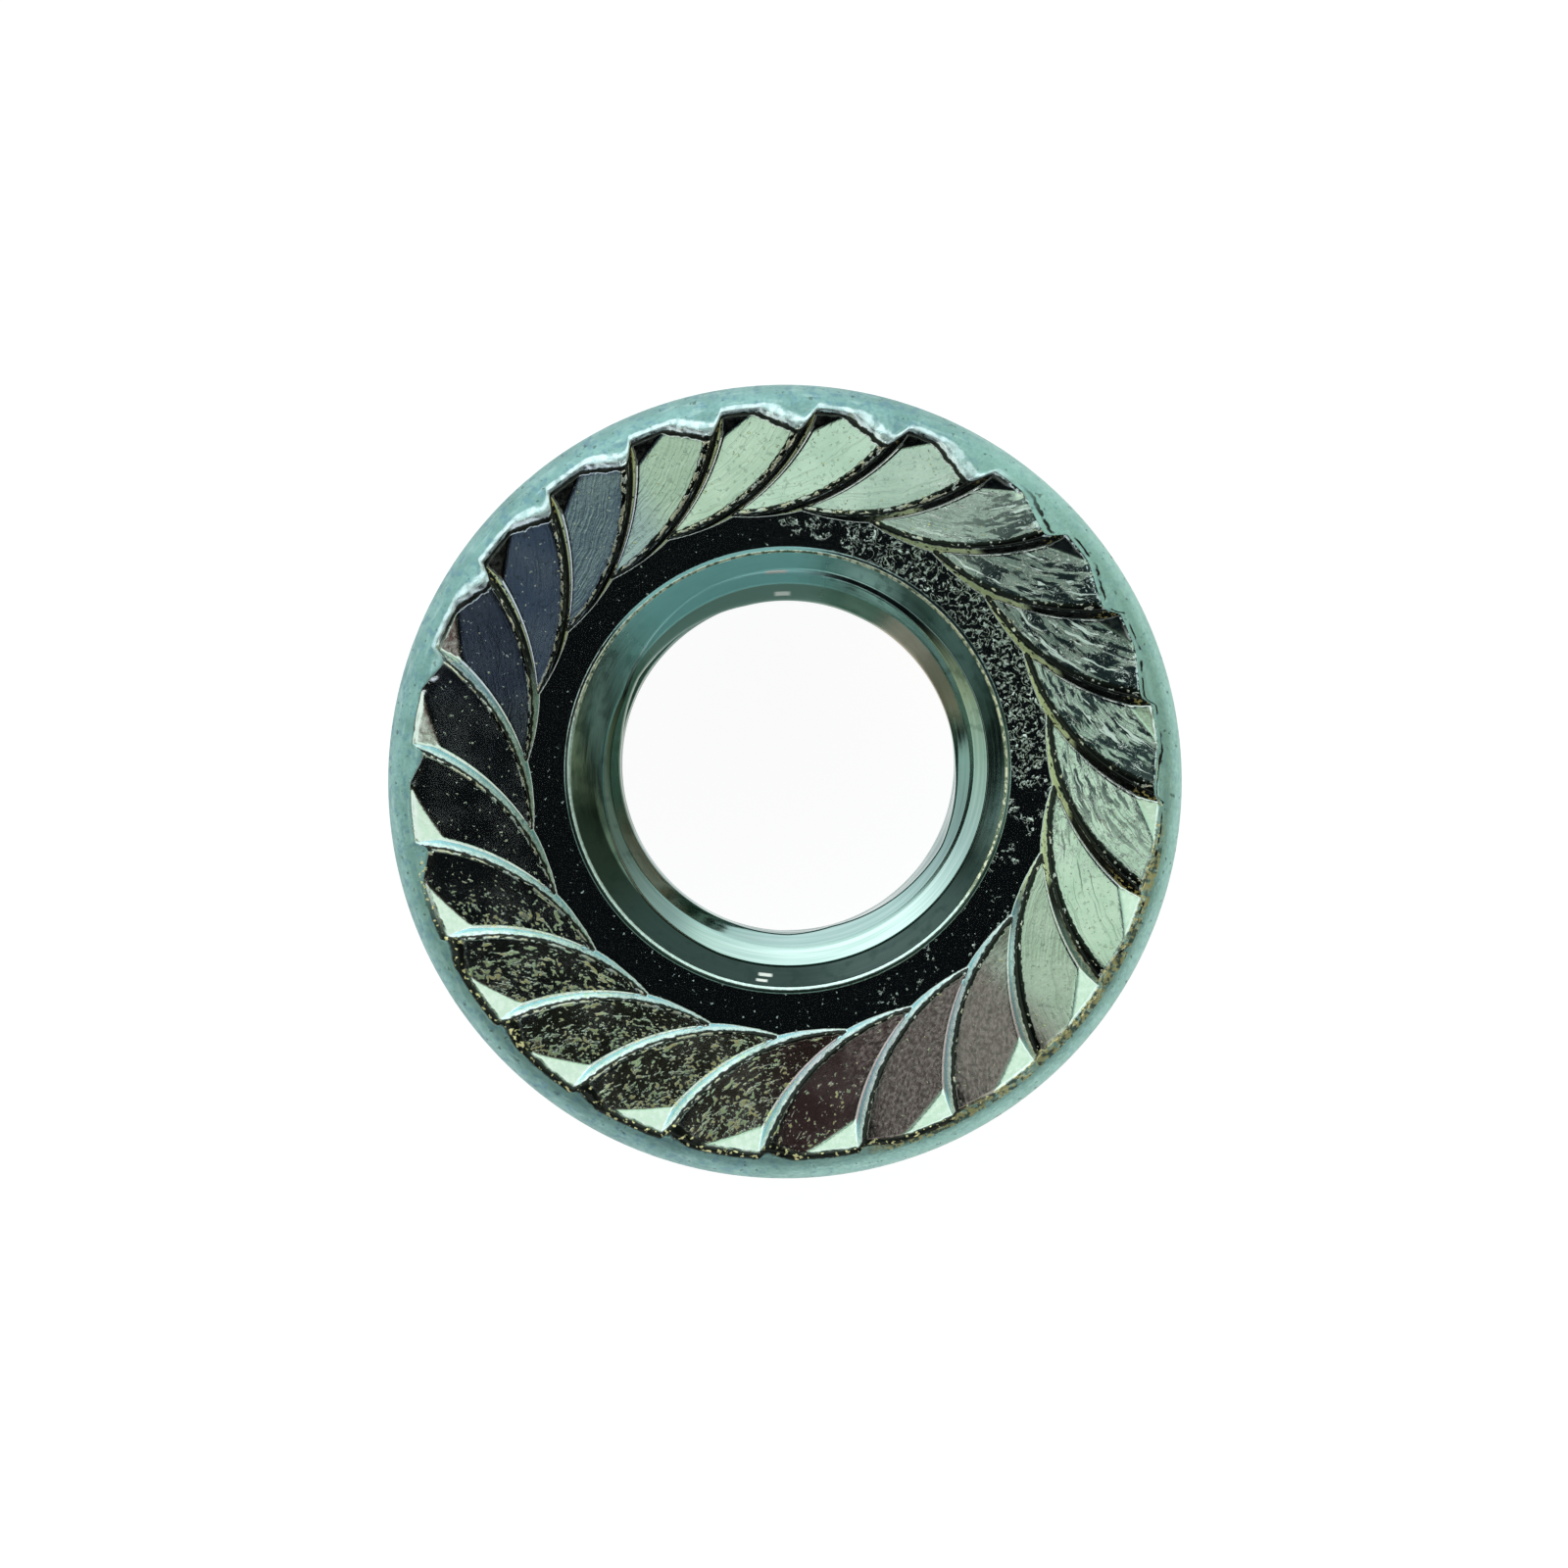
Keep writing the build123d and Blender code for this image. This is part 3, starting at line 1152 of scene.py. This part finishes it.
# %% Leaves
def leaf_face(s):
    """The leaf's plate, violet at the left, and at the lower right dull and
    tinted brown as a painted reflection, finely lined and pitted, with the
    specks and the scores on it."""
    patch = s.mottle(1.1, 3.0)
    pits = s.step(s.mottle(8.0, 4.0), 0.56, 0.68, 0.0, 0.45)
    pits = s.most(pits, s.step(fine_lines, 0.54, 0.66, 0.0, 0.22))
    colour = s.mix_colour(s.step(patch, 0.35, 0.65), (0.68, 0.75, 0.70), (0.82, 0.88, 0.83))
    for mask, tint in (
        (s.near_turn(143, 20, 9), (0.62, 0.68, 0.80)),
        # painted reflection: a brown tint on the leaves of the lower right
        (s.times(s.near_turn(291, 20, 7), 0.85), (0.50, 0.38, 0.40)),
        (pits, (0.25, 0.29, 0.27)),
        (specks, gold),
        (dents, (0.05, 0.07, 0.08)),
        (creases, (0.90, 1.0, 0.98)),
    ):
        colour = s.mix_colour(mask, colour, tint)
    rough = s.step(patch, 0.3, 0.7, 0.10, 0.16)
    dull = s.step(speckle, 0.35, 0.7, 0.16, 0.30)
    rough = s.mix(s.near_turn(300, 14, 8), rough, dull)
    for mask in (specks, creases):
        rough = s.mix(mask, rough, 0.3)
    height = s.plus(
        s.times(speckle, 0.0015),
        s.times(fine_lines, s.mix(scored, 0.003, 0.004)),
        s.times(s.most(creases, specks), 0.065),
    )
    return colour, rough, height


leaf = leaf_face(s)
print("nodes with the leaves:", len(s.tree.nodes))


# %% [markdown]
# ## Rests of the dish, and the walls
# Small three-cornered rests of the dish stay between the teeth, and the walls
# between the leaves are sheared metal. At the top and right both lie in the
# tooth's shade, and there they are painted black as shade. Pale and shaded
# metal could be two materials with a hard edge between them; a mask by angle
# lets one fade into the other.

# %% The three-cornered rests of the dish between the teeth
def dish_face(s):
    """Dish between the leaves: smooth with faint mottling, and painted black as
    shade at the top and right, where the tooth shades it."""
    cloud = s.mottle(6.0, 3.0)
    colour = s.mix_colour(s.step(cloud, 0.4, 0.65), (0.70, 0.84, 0.76), (0.82, 0.94, 0.87))
    # painted shade: the top and right are mixed towards black
    colour = s.mix_colour(s.times(s.near_turn(85, 62, 8), 0.9), colour, SHADED_SIDE)
    return colour, s.step(cloud, 0.3, 0.7, 0.10, 0.18), s.times(cloud, 0.003)


dish = dish_face(s)
print("nodes with the dish:", len(s.tree.nodes))


# %% Walls between the leaves
def wall_face(s):
    """Walls of the teeth: sheared metal. They are pale on the lower side;
    elsewhere they are painted black as shade, with a thin pale line at the foot
    and by the land that paints a yellow-green reflection, and gold dirt at the
    outer end."""
    drag = s.mottle(9.0, 3.0)
    pale_side = s.mix_colour(s.step(drag, 0.35, 0.6), (0.62, 0.80, 0.78), (0.88, 1.0, 0.98))
    pale_side = s.mix_colour(s.step(s.edge, 0.07, 0.13), pale_side, (0.36, 0.66, 0.74))
    # painted shade: away from the lower side the wall is mixed to black
    on_pale_side = s.near_turn(245, 76, 12)
    # painted reflection: a thin yellow-green line at the foot and by the land
    foot = s.times(s.step(s.edge, 0.10, 0.12), s.near_turn(128, 38, 12))
    by_land = s.times(s.step(s.radius, 6.95, 6.75), s.near_turn(20, 42, 12))
    wear_and_sheen = s.times(s.most(foot, by_land), s.step(drag, 0.36, 0.44))
    dirt = s.times(s.step(drag, 0.54, 0.60), s.step(s.radius, 7.9, 8.5))
    shade_dirt_and_sheen = s.mix_colour(dirt, SHADED_SIDE, (0.75, 0.58, 0.22))
    shade_dirt_and_sheen = s.mix_colour(wear_and_sheen, shade_dirt_and_sheen, (0.95, 1.0, 0.62))
    rough = s.mix(s.most(wear_and_sheen, dirt), 0.2, 0.5)
    return (
        s.mix_colour(on_pale_side, shade_dirt_and_sheen, pale_side),
        s.mix(on_pale_side, rough, s.step(drag, 0.3, 0.7, 0.18, 0.3)),
        s.times(drag, 0.012),
    )


wall = wall_face(s)
print("nodes with the walls:", len(s.tree.nodes))


# %% [markdown]
# ## Worn crests
# The crests are the first to touch anything. A dark band along each crest is
# painted shade of its rounding, and the plating tears into bright beads, too
# small to model one by one: noise along the tooth's edge places them, and a
# little bump lifts them.

# %% Worn crests
def crest_band(s):
    """The crest of each tooth, on the leaf's side of its edge: how dark the band of
    painted shade is, and how bright the beads of torn plating are in it."""
    at = s.plus(s.edge, s.times(s.minus(s.mottle(7.0), 0.5), 0.09))
    wide = s.times(s.near_turn(38, 80, 12), s.step(s.radius, 6.4, 9.0, 0.03, 0.13))
    inner = s.times(s.plus(wide, 0.06), -1.0)
    dark = s.times(s.step(at, s.minus(inner, 0.03), inner), s.step(at, 0.05, 0.02))
    near = s.times(s.step(at, s.minus(inner, 0.02), inner), s.step(at, 0.0, -0.03))
    beaded = s.mix(s.near_turn(160, 90, 20), 0.60, 0.47)
    lengthwise = s.times(s.print_arc, 5.5)
    found = s.noise(s.join(s.times(s.edge, 10.0), lengthwise, s.tooth), 1.0)
    return dark, s.times(s.step(found, beaded, s.plus(beaded, 0.05)), near)


def crest_finish(s, beads):
    """Band of painted shade with cream and gold beads that stand up a little."""
    tint = s.step(s.mottle(4.0), 0.45, 0.6)
    tint = s.mix_colour(tint, (1.0, 0.95, 0.72), (0.95, 1.0, 0.95))
    return s.mix_colour(beads, SHADED_LINE, tint), s.mix(beads, 0.2, 0.3), s.times(beads, 0.10)


band, torn = crest_band(s)
print("nodes with the crests:", len(s.tree.nodes))


# %% [markdown]
# ## The border of the print
# Round the ring runs the line where the die's edge stopped. It is a groove
# with gold beads at the bottom, a stain at the lower right, a thin crack at the
# right and a bright bead of metal at the upper left. The groove, the crack and
# a seam by the bead are painted dark as shade; the bead and a ridge at the right
# are painted as highlight. The mesh gives the distance from that line, so each
# of them is a band at its own distance.

# %% Border between the print and the rim
def border_line(s):
    """Masks for the dark line of painted shade, the bright bead and ridge of
    painted highlight, the gold beads and the stain.
    inside is the distance into the print: twice the depth under the rim's own
    shape is about that distance. Noise of a tenth of a mm makes it uneven."""
    inside = s.times(s.cover, -2.0)
    at = s.plus(inside, s.times(s.minus(s.mottle(5.0, 3.0), 0.5), 0.12))
    burr_side = s.near_turn(108, 50, 8)
    # painted shade: the groove, the crack and the seam are dark lines
    groove = s.times(s.on_line(at, -0.03, 0.12), s.near_turn(250, 42, 14))
    crack = s.times(s.on_line(at, -0.13, 0.028), s.near_turn(8, 36, 8))
    crack = s.times(crack, s.step(s.mottle(2.5), 0.42, 0.52))
    seam = s.times(s.on_line(at, 0.13, 0.035), burr_side)
    # painted highlight: the bead at the upper left and a ridge at the right
    lit = s.times(s.on_line(at, -0.03, 0.10), burr_side)
    lit = s.times(lit, s.step(s.mottle(5.0, 3.0), 0.36, 0.55, 0.5, 1.0))
    ridge = s.times(s.on_line(at, 0.05, 0.03), s.near_turn(10, 50, 10))
    ridge = s.times(ridge, s.step(s.mottle(8.0, 3.0), 0.48, 0.56))
    beads = s.times(s.step(s.mottle(9.0), 0.58, 0.62), s.on_line(at, -0.03, 0.09))
    beads = s.times(beads, s.near_turn(275, 75, 14))
    stain = s.times(s.on_line(at, -0.20, 0.24), s.near_turn(316, 28, 10))
    stain = s.times(stain, s.step(s.mottle(5.0, 4.0), 0.38, 0.50, 0.2, 1.0))
    return s.most(groove, crack, seam), s.most(lit, ridge), beads, stain


line, lit, beads, stain = border_line(s)
print("nodes with the border:", len(s.tree.nodes))


# %% [markdown]
# ## The land
# The land is the smoothest face of the nut, and as it looks straight up, it
# mirrors the dark opening of the tent and seems black. A dark colour would do
# from above, but from the side a real land shines, as a mirror does. Only its
# nicks and scratches are pale: they are rough and catch light from all round.

# %% Flat land round the mouth
def land_face(s):
    """The land: a dark mirror with pale nicks. There are more of them on the
    right, where they crowd into a scratched grain."""
    right = s.near_turn(38, 8, 62)
    right = s.most(right, s.times(s.near_turn(350, 40, 50), 0.40))
    nicks = s.step(s.mottle(9.0, 4.0), 0.68, 0.73)
    curls = s.most(wrinkles(s, 4.5, 0.024), s.step(s.mottle(8.0, 3.0), 0.60, 0.63))
    ragged = s.step(s.plus(s.mottle(2.0, 3.0), s.times(right, 0.5)), 0.77, 1.05)
    cut = s.most(nicks, s.times(curls, ragged))
    mirror = s.step(s.mottle(24.0), 0.4, 0.7, 0.08, 0.14)
    colour = s.mix_colour(cut, (0.55, 0.62, 0.60), (0.85, 0.97, 0.93))
    return colour, s.mix(cut, mirror, 0.35), s.times(cut, 0.05)


land = land_face(s)
print("nodes with the land:", len(s.tree.nodes))


# %% [markdown]
# ## The bore
# The countersink and the thread were cut, so their lines run round the axis.
# They could be fine ridges in the mesh, but noise in the depth, drawn out along
# the angle, gives them at no cost. Smears, painted shade, a darker tint lower
# down, painted glints and a ring at the mouth, painted as highlight on one
# side, lie on top.

# %% Painted shade and a darker tint in the bore
def bore_shades(s):
    """Masks for the smears, the dark side of the countersink as painted shade, the
    places under it darkened as painted shade, and a darker tint lower down. Each
    is held to its own side by angle and to its own depth under the land."""
    cone = s.below_land(0.62, 0.55)
    below_cone = s.minus(1.0, cone)
    smear = s.step(s.mottle(3.0, 3.0), 0.50, 0.66, 0.0, 0.6)
    clear = s.times(s.near_turn(290, 66, 20), below_cone)
    shade = s.mix(s.near_turn(302, 10, 18), 0.96, 0.90)
    shade = s.mix(s.near_turn(15, 22, 22), shade, 0.62)
    shade = s.times(shade, cone, s.near_turn(300, 105, 28))
    # painted shade: darker places under the countersink
    dim_shade = s.times(s.step(s.radius, 4.45, 4.32), s.near_turn(312, 52, 24))
    dim_shade = s.most(dim_shade, s.times(s.near_turn(205, 25, 15), below_cone))
    # darker olive lower down on the upper side, browner at the right
    lower_tint = s.times(s.below_land(0.90, 0.98), s.near_turn(108, 84, 20))
    return s.times(smear, s.minus(1.0, clear)), shade, s.times(dim_shade, 0.5), lower_tint


smear, shade, dim_shade, lower_tint = bore_shades(s)
print("nodes with the shades:", len(s.tree.nodes))


# %% Turned metal of the bore
def turned_metal(s):
    """Countersink and thread: turned lines that run round the bore, blue at the
    top as a painted reflection and dark elsewhere as painted shade, with a darker
    olive and brown tint lower down."""
    depth = s.plus(s.times(s.height, 9.0), s.times(s.radius, 9.0))
    lines = s.noise(s.join(depth, s.times(s.angle, 1.5), 0.0), 1.0, 3.0)
    top = s.near_turn(110, 18, 22)
    brown = s.near_turn(34, 14, 14)
    # the colour of the darker tint lower down: olive, and brown at the right
    dirt = s.mix_colour(brown, (0.10, 0.16, 0.10), (0.70, 0.56, 0.42))
    colour = s.mix_colour(s.step(lines, 0.3, 0.7), (0.42, 0.58, 0.54), (0.58, 0.74, 0.70))
    for mask, tint in (
        (smear, (0.20, 0.30, 0.27)),
        (shade, (0.02, 0.035, 0.03)),
        # painted reflection: the top is tinted bright blue
        (s.times(top, 0.9), (0.50, 1.0, 1.0)),
        (dim_shade, (0.10, 0.17, 0.18)),
        (s.times(lower_tint, 0.8), dirt),
    ):
        colour = s.mix_colour(mask, colour, tint)
    rough = s.mix(top, s.step(lines, 0.3, 0.7, 0.08, 0.14), 0.44)
    rough = s.mix(s.times(lower_tint, brown), rough, 0.4)
    return colour, rough, s.times(lines, 0.0005)


cut_colour, cut_rough, cut_height = turned_metal(s)
print("nodes with the turned metal:", len(s.tree.nodes))

# %% Small painted glints in the bore
# angle, distance, half length in degrees and half width
BORE_GLINTS = [
    (92, 4.10, 1.6, 0.04),
    (93.6, 4.62, 2.0, 0.03),
    (263.0, 5.22, 0.9, 0.025),
    (263.8, 5.08, 1.1, 0.03),
]


def with_glints(s, colour, rough):
    """The same metal with short painted glints, each a band in angle times a band
    in distance from the axis, down to the end of the entry."""
    above_entry = s.below_land(ENTRY_DEPTH, ENTRY_DEPTH - 0.1)
    for turn, at, long, wide in BORE_GLINTS:
        mark = s.times(s.near_turn(turn, long, long), s.on_line(s.radius, at, wide))
        mark = s.times(mark, above_entry)
        colour = s.mix_colour(mark, colour, (1.0, 1.0, 0.95))
        rough = s.mix(mark, rough, 0.45)
    return colour, rough


glinted_colour, glinted_rough = with_glints(s, cut_colour, cut_rough)
print("marks:", len(BORE_GLINTS))


# %% Worn mouth, and the bore as a whole
def bored_face(s):
    """The glinted metal with a ring at the mouth, between 0.01 and 0.06 mm under
    the land: pale all along the lower side as a painted highlight, and pale in
    spots on a darker ring on the other side."""
    wear_and_sheen = s.times(s.below_land(0.065, 0.045), s.below_land(0.008, 0.014))
    # painted highlight: the ring is pale all along the lower side
    whole = s.near_turn(245, 72, 14)
    spots = s.most(s.step(s.mottle(9.0, 3.0), 0.40, 0.56), s.times(whole, 0.8))
    ring = s.mix_colour(whole, (0.95, 0.95, 0.70), (0.80, 1.0, 0.95))
    ring = s.mix_colour(spots, (0.22, 0.28, 0.18), ring)
    height = s.plus(cut_height, s.times(spots, wear_and_sheen, 0.01))
    return s.mix_colour(wear_and_sheen, glinted_colour, ring), s.mix(wear_and_sheen, glinted_rough, 0.35), height


bored = bored_face(s)
print("nodes with the bore:", len(s.tree.nodes))


# %% [markdown]
# ## All the finishes on one nut
# The nut is one piece, and its finishes could be several materials given out
# face by face, but then every border would follow the mesh. So it has one
# material. Each finish is a colour, a roughness and a height, and they are
# laid over each other with a mask for each: the leaf first, then the wall, the
# crest and so on up to the bore.

# %% Put the finishes together
def blend(s, mask, first, second):
    """Mix two finishes: colour, roughness and height."""
    mixers = (s.mix_colour, s.mix, s.mix)
    return tuple(mixer(mask, a, b) for mixer, a, b in zip(mixers, first, second))


was_pressed = s.step(s.cover, 0.004, -0.004)
on_land = s.times(s.below_land(-0.012, -0.002), was_pressed)
stained = s.step(s.mottle(8.0, 3.0), 0.42, 0.56)
stained = s.mix_colour(stained, (0.05, 0.05, 0.025), (0.72, 0.60, 0.22))
finish = leaf
for mask, over in (
    (s.step(s.edge, 0.02, 0.04), wall),
    # painted shade along the crests, with the beads of torn plating on it
    (s.most(band, torn), crest_finish(s, torn)),
    (s.step(s.above, 0.003, -0.003), dish),
    (s.minus(1.0, was_pressed), plate),
    (on_land, land),
    (s.times(stain, 0.75), (stained, 0.45, 0.0)),
    # painted highlight on the bead and the ridge
    (s.times(lit, 0.9), ((0.80, 0.97, 1.0), 0.40, 0.0)),
    # painted shade in the groove, the crack and the seam
    (line, (SHADED_LINE, 0.3, -0.01)),
    (beads, ((1.0, 0.95, 0.50), 0.38, 0.03)),
    (s.bore, bored),
):
    finish = blend(s, mask, finish, over)
bump = s.add("Bump", {"Height": finish[2], "Strength": 1.0, "Distance": MM})
shader = zinc.node_tree.nodes["Principled BSDF"]
for socket, value in (("Base Color", finish[0]), ("Roughness", finish[1]), ("Normal", bump)):
    s.tree.links.new(value, shader.inputs[socket])
shader.inputs["Metallic"].default_value = 1.0
mesh.materials.append(zinc)
print("nodes in zinc_plate:", len(zinc.node_tree.nodes))

# %% [markdown]
# ## A tent for shiny metal
# Bright metal shows what stands round it. Lamps would be small hot spots in
# it, so it is lit in a tent: a dome with white, grey and black cards. The flat
# land looks straight up at the dark opening for the camera. The leaves look 18
# degrees off it, the dish 25, the shoulder about 38, and the walls of the
# teeth look far out to the sides.

# %% The cards, ring by ring
# each card: its direction in degrees, then red, green and blue
BLACK = (0.004, 0.005, 0.006)
LEAF_CARDS = [
    (5, 0.05, 0.04, 0.04), (20, 0.10, 0.09, 0.085), (32, 0.35, 0.42, 0.33),
    (44, 0.62, 0.84, 0.64), (58, 0.68, 0.90, 0.72), (74, 0.56, 0.76, 0.62),
    (88, 0.17, 0.25, 0.22), (103, 0.07, 0.10, 0.09), (118, 0.20, 0.28, 0.25),
    (134, 0.48, 0.60, 0.53), (150, 0.62, 0.84, 0.70), (180, 0.60, 0.78, 0.60),
    (192, 0.40, 0.56, 0.42), (202, 0.05, 0.08, 0.11), (226, 0.05, 0.065, 0.085),
    (240, *BLACK), (280, *BLACK), (300, 0.008, 0.009, 0.006),
    (335, 0.018, 0.017, 0.011), (348, 0.045, 0.03, 0.03),
]
DISH_CARDS = [
    (5, 0.85, 1.0, 0.85), (170, 0.85, 1.0, 0.85), (185, 0.3, 0.3, 0.2),
    (200, *BLACK), (325, *BLACK), (335, 0.10, 0.035, 0.035), (350, 0.12, 0.05, 0.05),
]
SHOULDER_CARDS = [
    (60, 0.90, 0.94, 0.92), (135, 1.10, 1.20, 1.20), (200, 1.00, 1.05, 1.05),
    (270, 1.00, 1.03, 1.03), (330, 1.00, 1.03, 1.00),
]
SIDE_CARDS = [
    (30, 0.25, 0.3, 0.25), (60, 0.75, 0.9, 0.85), (90, 1.5, 1.6, 1.6),
    (125, 1.5, 1.6, 1.6), (155, 0.7, 0.8, 0.8), (185, 0.5, 0.6, 0.5),
    (204, 0.4, 0.42, 0.28), (226, *BLACK), (335, *BLACK), (350, 0.2, 0.22, 0.15),
]
WALL_CARDS = [
    (30, 0.45, 0.55, 0.40), (48, 0.8, 1.0, 0.95), (85, 1.1, 1.25, 1.25),
    (120, 1.1, 1.25, 1.25), (180, 0.7, 0.9, 0.8), (204, 0.5, 0.5, 0.28),
    (232, 0.1, 0.12, 0.1), (255, 0.5, 0.6, 0.6), (320, 0.5, 0.6, 0.6),
    (335, 0.2, 0.22, 0.2), (350, 0.3, 0.33, 0.2),
]
# where one ring of cards passes into the next, in degrees from straight up
CARD_RINGS = [
    (10.5, 14.0, LEAF_CARDS),
    (22.3, 24.3, DISH_CARDS),
    (28.5, 31.0, SHOULDER_CARDS),
    (44.0, 54.0, SIDE_CARDS),
    (75.0, 79.0, WALL_CARDS),
]
print("cards in the tent:", sum(len(stops) for _, _, stops in CARD_RINGS))


# %% The tent's glow
def cards(s, turn, stops):
    """A closed ring of cards: the ramp starts and ends on the same colour."""
    (first, *after), (last, *before) = stops[0], stops[-1]
    share = (360 - last) / (first + 360 - last)
    at_zero = np.array(before) + (np.array(after) - np.array(before)) * share
    ring = [(0.0, at_zero), *((a / 360, colour) for a, *colour in stops), (1.0, at_zero)]
    return s.ramp(turn, ring)


def tent_material():
    """Black straight up and rings of cards below it, each ring mixed in between
    its two angles from straight up."""
    made, s = new_material("tent")
    way = s.add("VectorMath", {0: s.add("TexCoord", {}, "Object")}, operation="NORMALIZE")
    tilt = s.math("DEGREES", s.math("ARCCOSINE", s.add("SeparateXYZ", {0: way}, 2)))
    turn = s.math("FRACT", s.math("DIVIDE", polar(s, way)[1], 2 * np.pi))
    light = BLACK
    for start, stop, stops in CARD_RINGS:
        light = s.mix_colour(s.step(tilt, start, stop), light, cards(s, turn, stops))
    s.surface(s.add("Emission", {0: light, 1: 1.0}))
    return made


tent_glow = tent_material()
print("nodes in the tent's glow:", len(tent_glow.node_tree.nodes))


# %% Make the tent
TENT_R = 0.5
TENT_COLUMNS = 64
TENT_ROWS = 24
turns = np.linspace(0, 2 * np.pi, TENT_COLUMNS, endpoint=False)
tilts = np.linspace(0.02, np.pi / 2 + 0.02, TENT_ROWS)[:, None]
tent_xyz = (np.sin(tilts) * np.cos(turns), np.sin(tilts) * np.sin(turns), np.cos(tilts))
tent_points = np.stack(np.broadcast_arrays(*tent_xyz), -1).reshape(-1, 3)
ids = np.arange(len(tent_points)).reshape(TENT_ROWS, TENT_COLUMNS)
tent_faces = np.concatenate([stitch(one, two) for one, two in zip(ids[:-1], ids[1:])])
tent_mesh = bpy.data.meshes.new("tent")
tent_mesh.from_pydata((tent_points * TENT_R).tolist(), [], tent_faces.tolist() + [ids[0].tolist()])
tent_mesh.materials.append(tent_glow)
tent_glow.cycles.emission_sampling = "NONE"
tent = bpy.data.objects.new("tent", tent_mesh)
tent.visible_camera = False
scene.collection.objects.link(tent)
print("faces in the tent:", len(tent_mesh.polygons))

# %% [markdown]
# ## Floor, air and camera
# The floor is a pale sheet. Part of its whiteness is its own glow, for the
# camera and for mirrors in the metal, and the rest is lit, so the nut still
# darkens it where they touch. It lies a hundredth of a millimetre under the
# nut, and from below it is clear, so that the nut's flat end can be looked at.

# %% Floor
FLOOR_HALF = 0.45
FLOOR_Z = -0.01 * MM
signs = [(-1, -1), (1, -1), (1, 1), (-1, 1)]
corners = [(x * FLOOR_HALF, y * FLOOR_HALF, FLOOR_Z) for x, y in signs]
floor_mesh = bpy.data.meshes.new("floor")
floor_mesh.from_pydata(corners, [], [(0, 1, 2, 3)])
floor = bpy.data.objects.new("floor", floor_mesh)
scene.collection.objects.link(floor)
print("floor, mm across:", 2 * FLOOR_HALF / MM)


# %% The floor's material
def pale_floor():
    """A dull grey sheet plus a glow where a ray comes straight from the camera,
    a mirror or glass. Seen from below it lets everything through."""
    made, s = new_material("pale_floor")
    path = s.add("LightPath", {}).node.outputs
    seen = s.most(path["Is Camera Ray"], path["Is Glossy Ray"], path["Is Transmission Ray"])
    glow = s.add("Emission", {0: (1, 1, 1, 1), 1: s.times(seen, 0.93)})
    sheet = s.add("BsdfDiffuse", {0: (0.2, 0.2, 0.2, 1)})
    lit_side = s.add("AddShader", {0: sheet, 1: glow})
    under_side = s.add("BsdfTransparent", {})
    from_below = s.add("NewGeometry", {}, "Backfacing")
    s.surface(s.add("MixShader", {0: from_below, 1: lit_side, 2: under_side}))
    return made


floor_mesh.materials.append(pale_floor())
print("materials:", [made.name for made in bpy.data.materials])

# %% World and camera
world = bpy.data.worlds.new("studio")
scene.world = world
world.use_nodes = True
world.node_tree.nodes["Background"].inputs["Color"].default_value = (1, 1, 1, 1)
CAMERA_HEIGHT = 0.4
CAMERA_XY = (-0.103, -0.479)
FRAME_PIXELS = 1600
PIXELS_PER_MM = 42.605
SENSOR = 36
camera_data = bpy.data.cameras.new("camera")
camera_data.sensor_width = SENSOR
camera_data.lens = SENSOR * CAMERA_HEIGHT / (FRAME_PIXELS / PIXELS_PER_MM * MM)
camera = bpy.data.objects.new("camera", camera_data)
camera.location = (CAMERA_XY[0] * MM, CAMERA_XY[1] * MM, LAND_Z * MM + CAMERA_HEIGHT)
scene.collection.objects.link(camera)
scene.camera = camera
print("lens, mm:", round(camera_data.lens, 1))
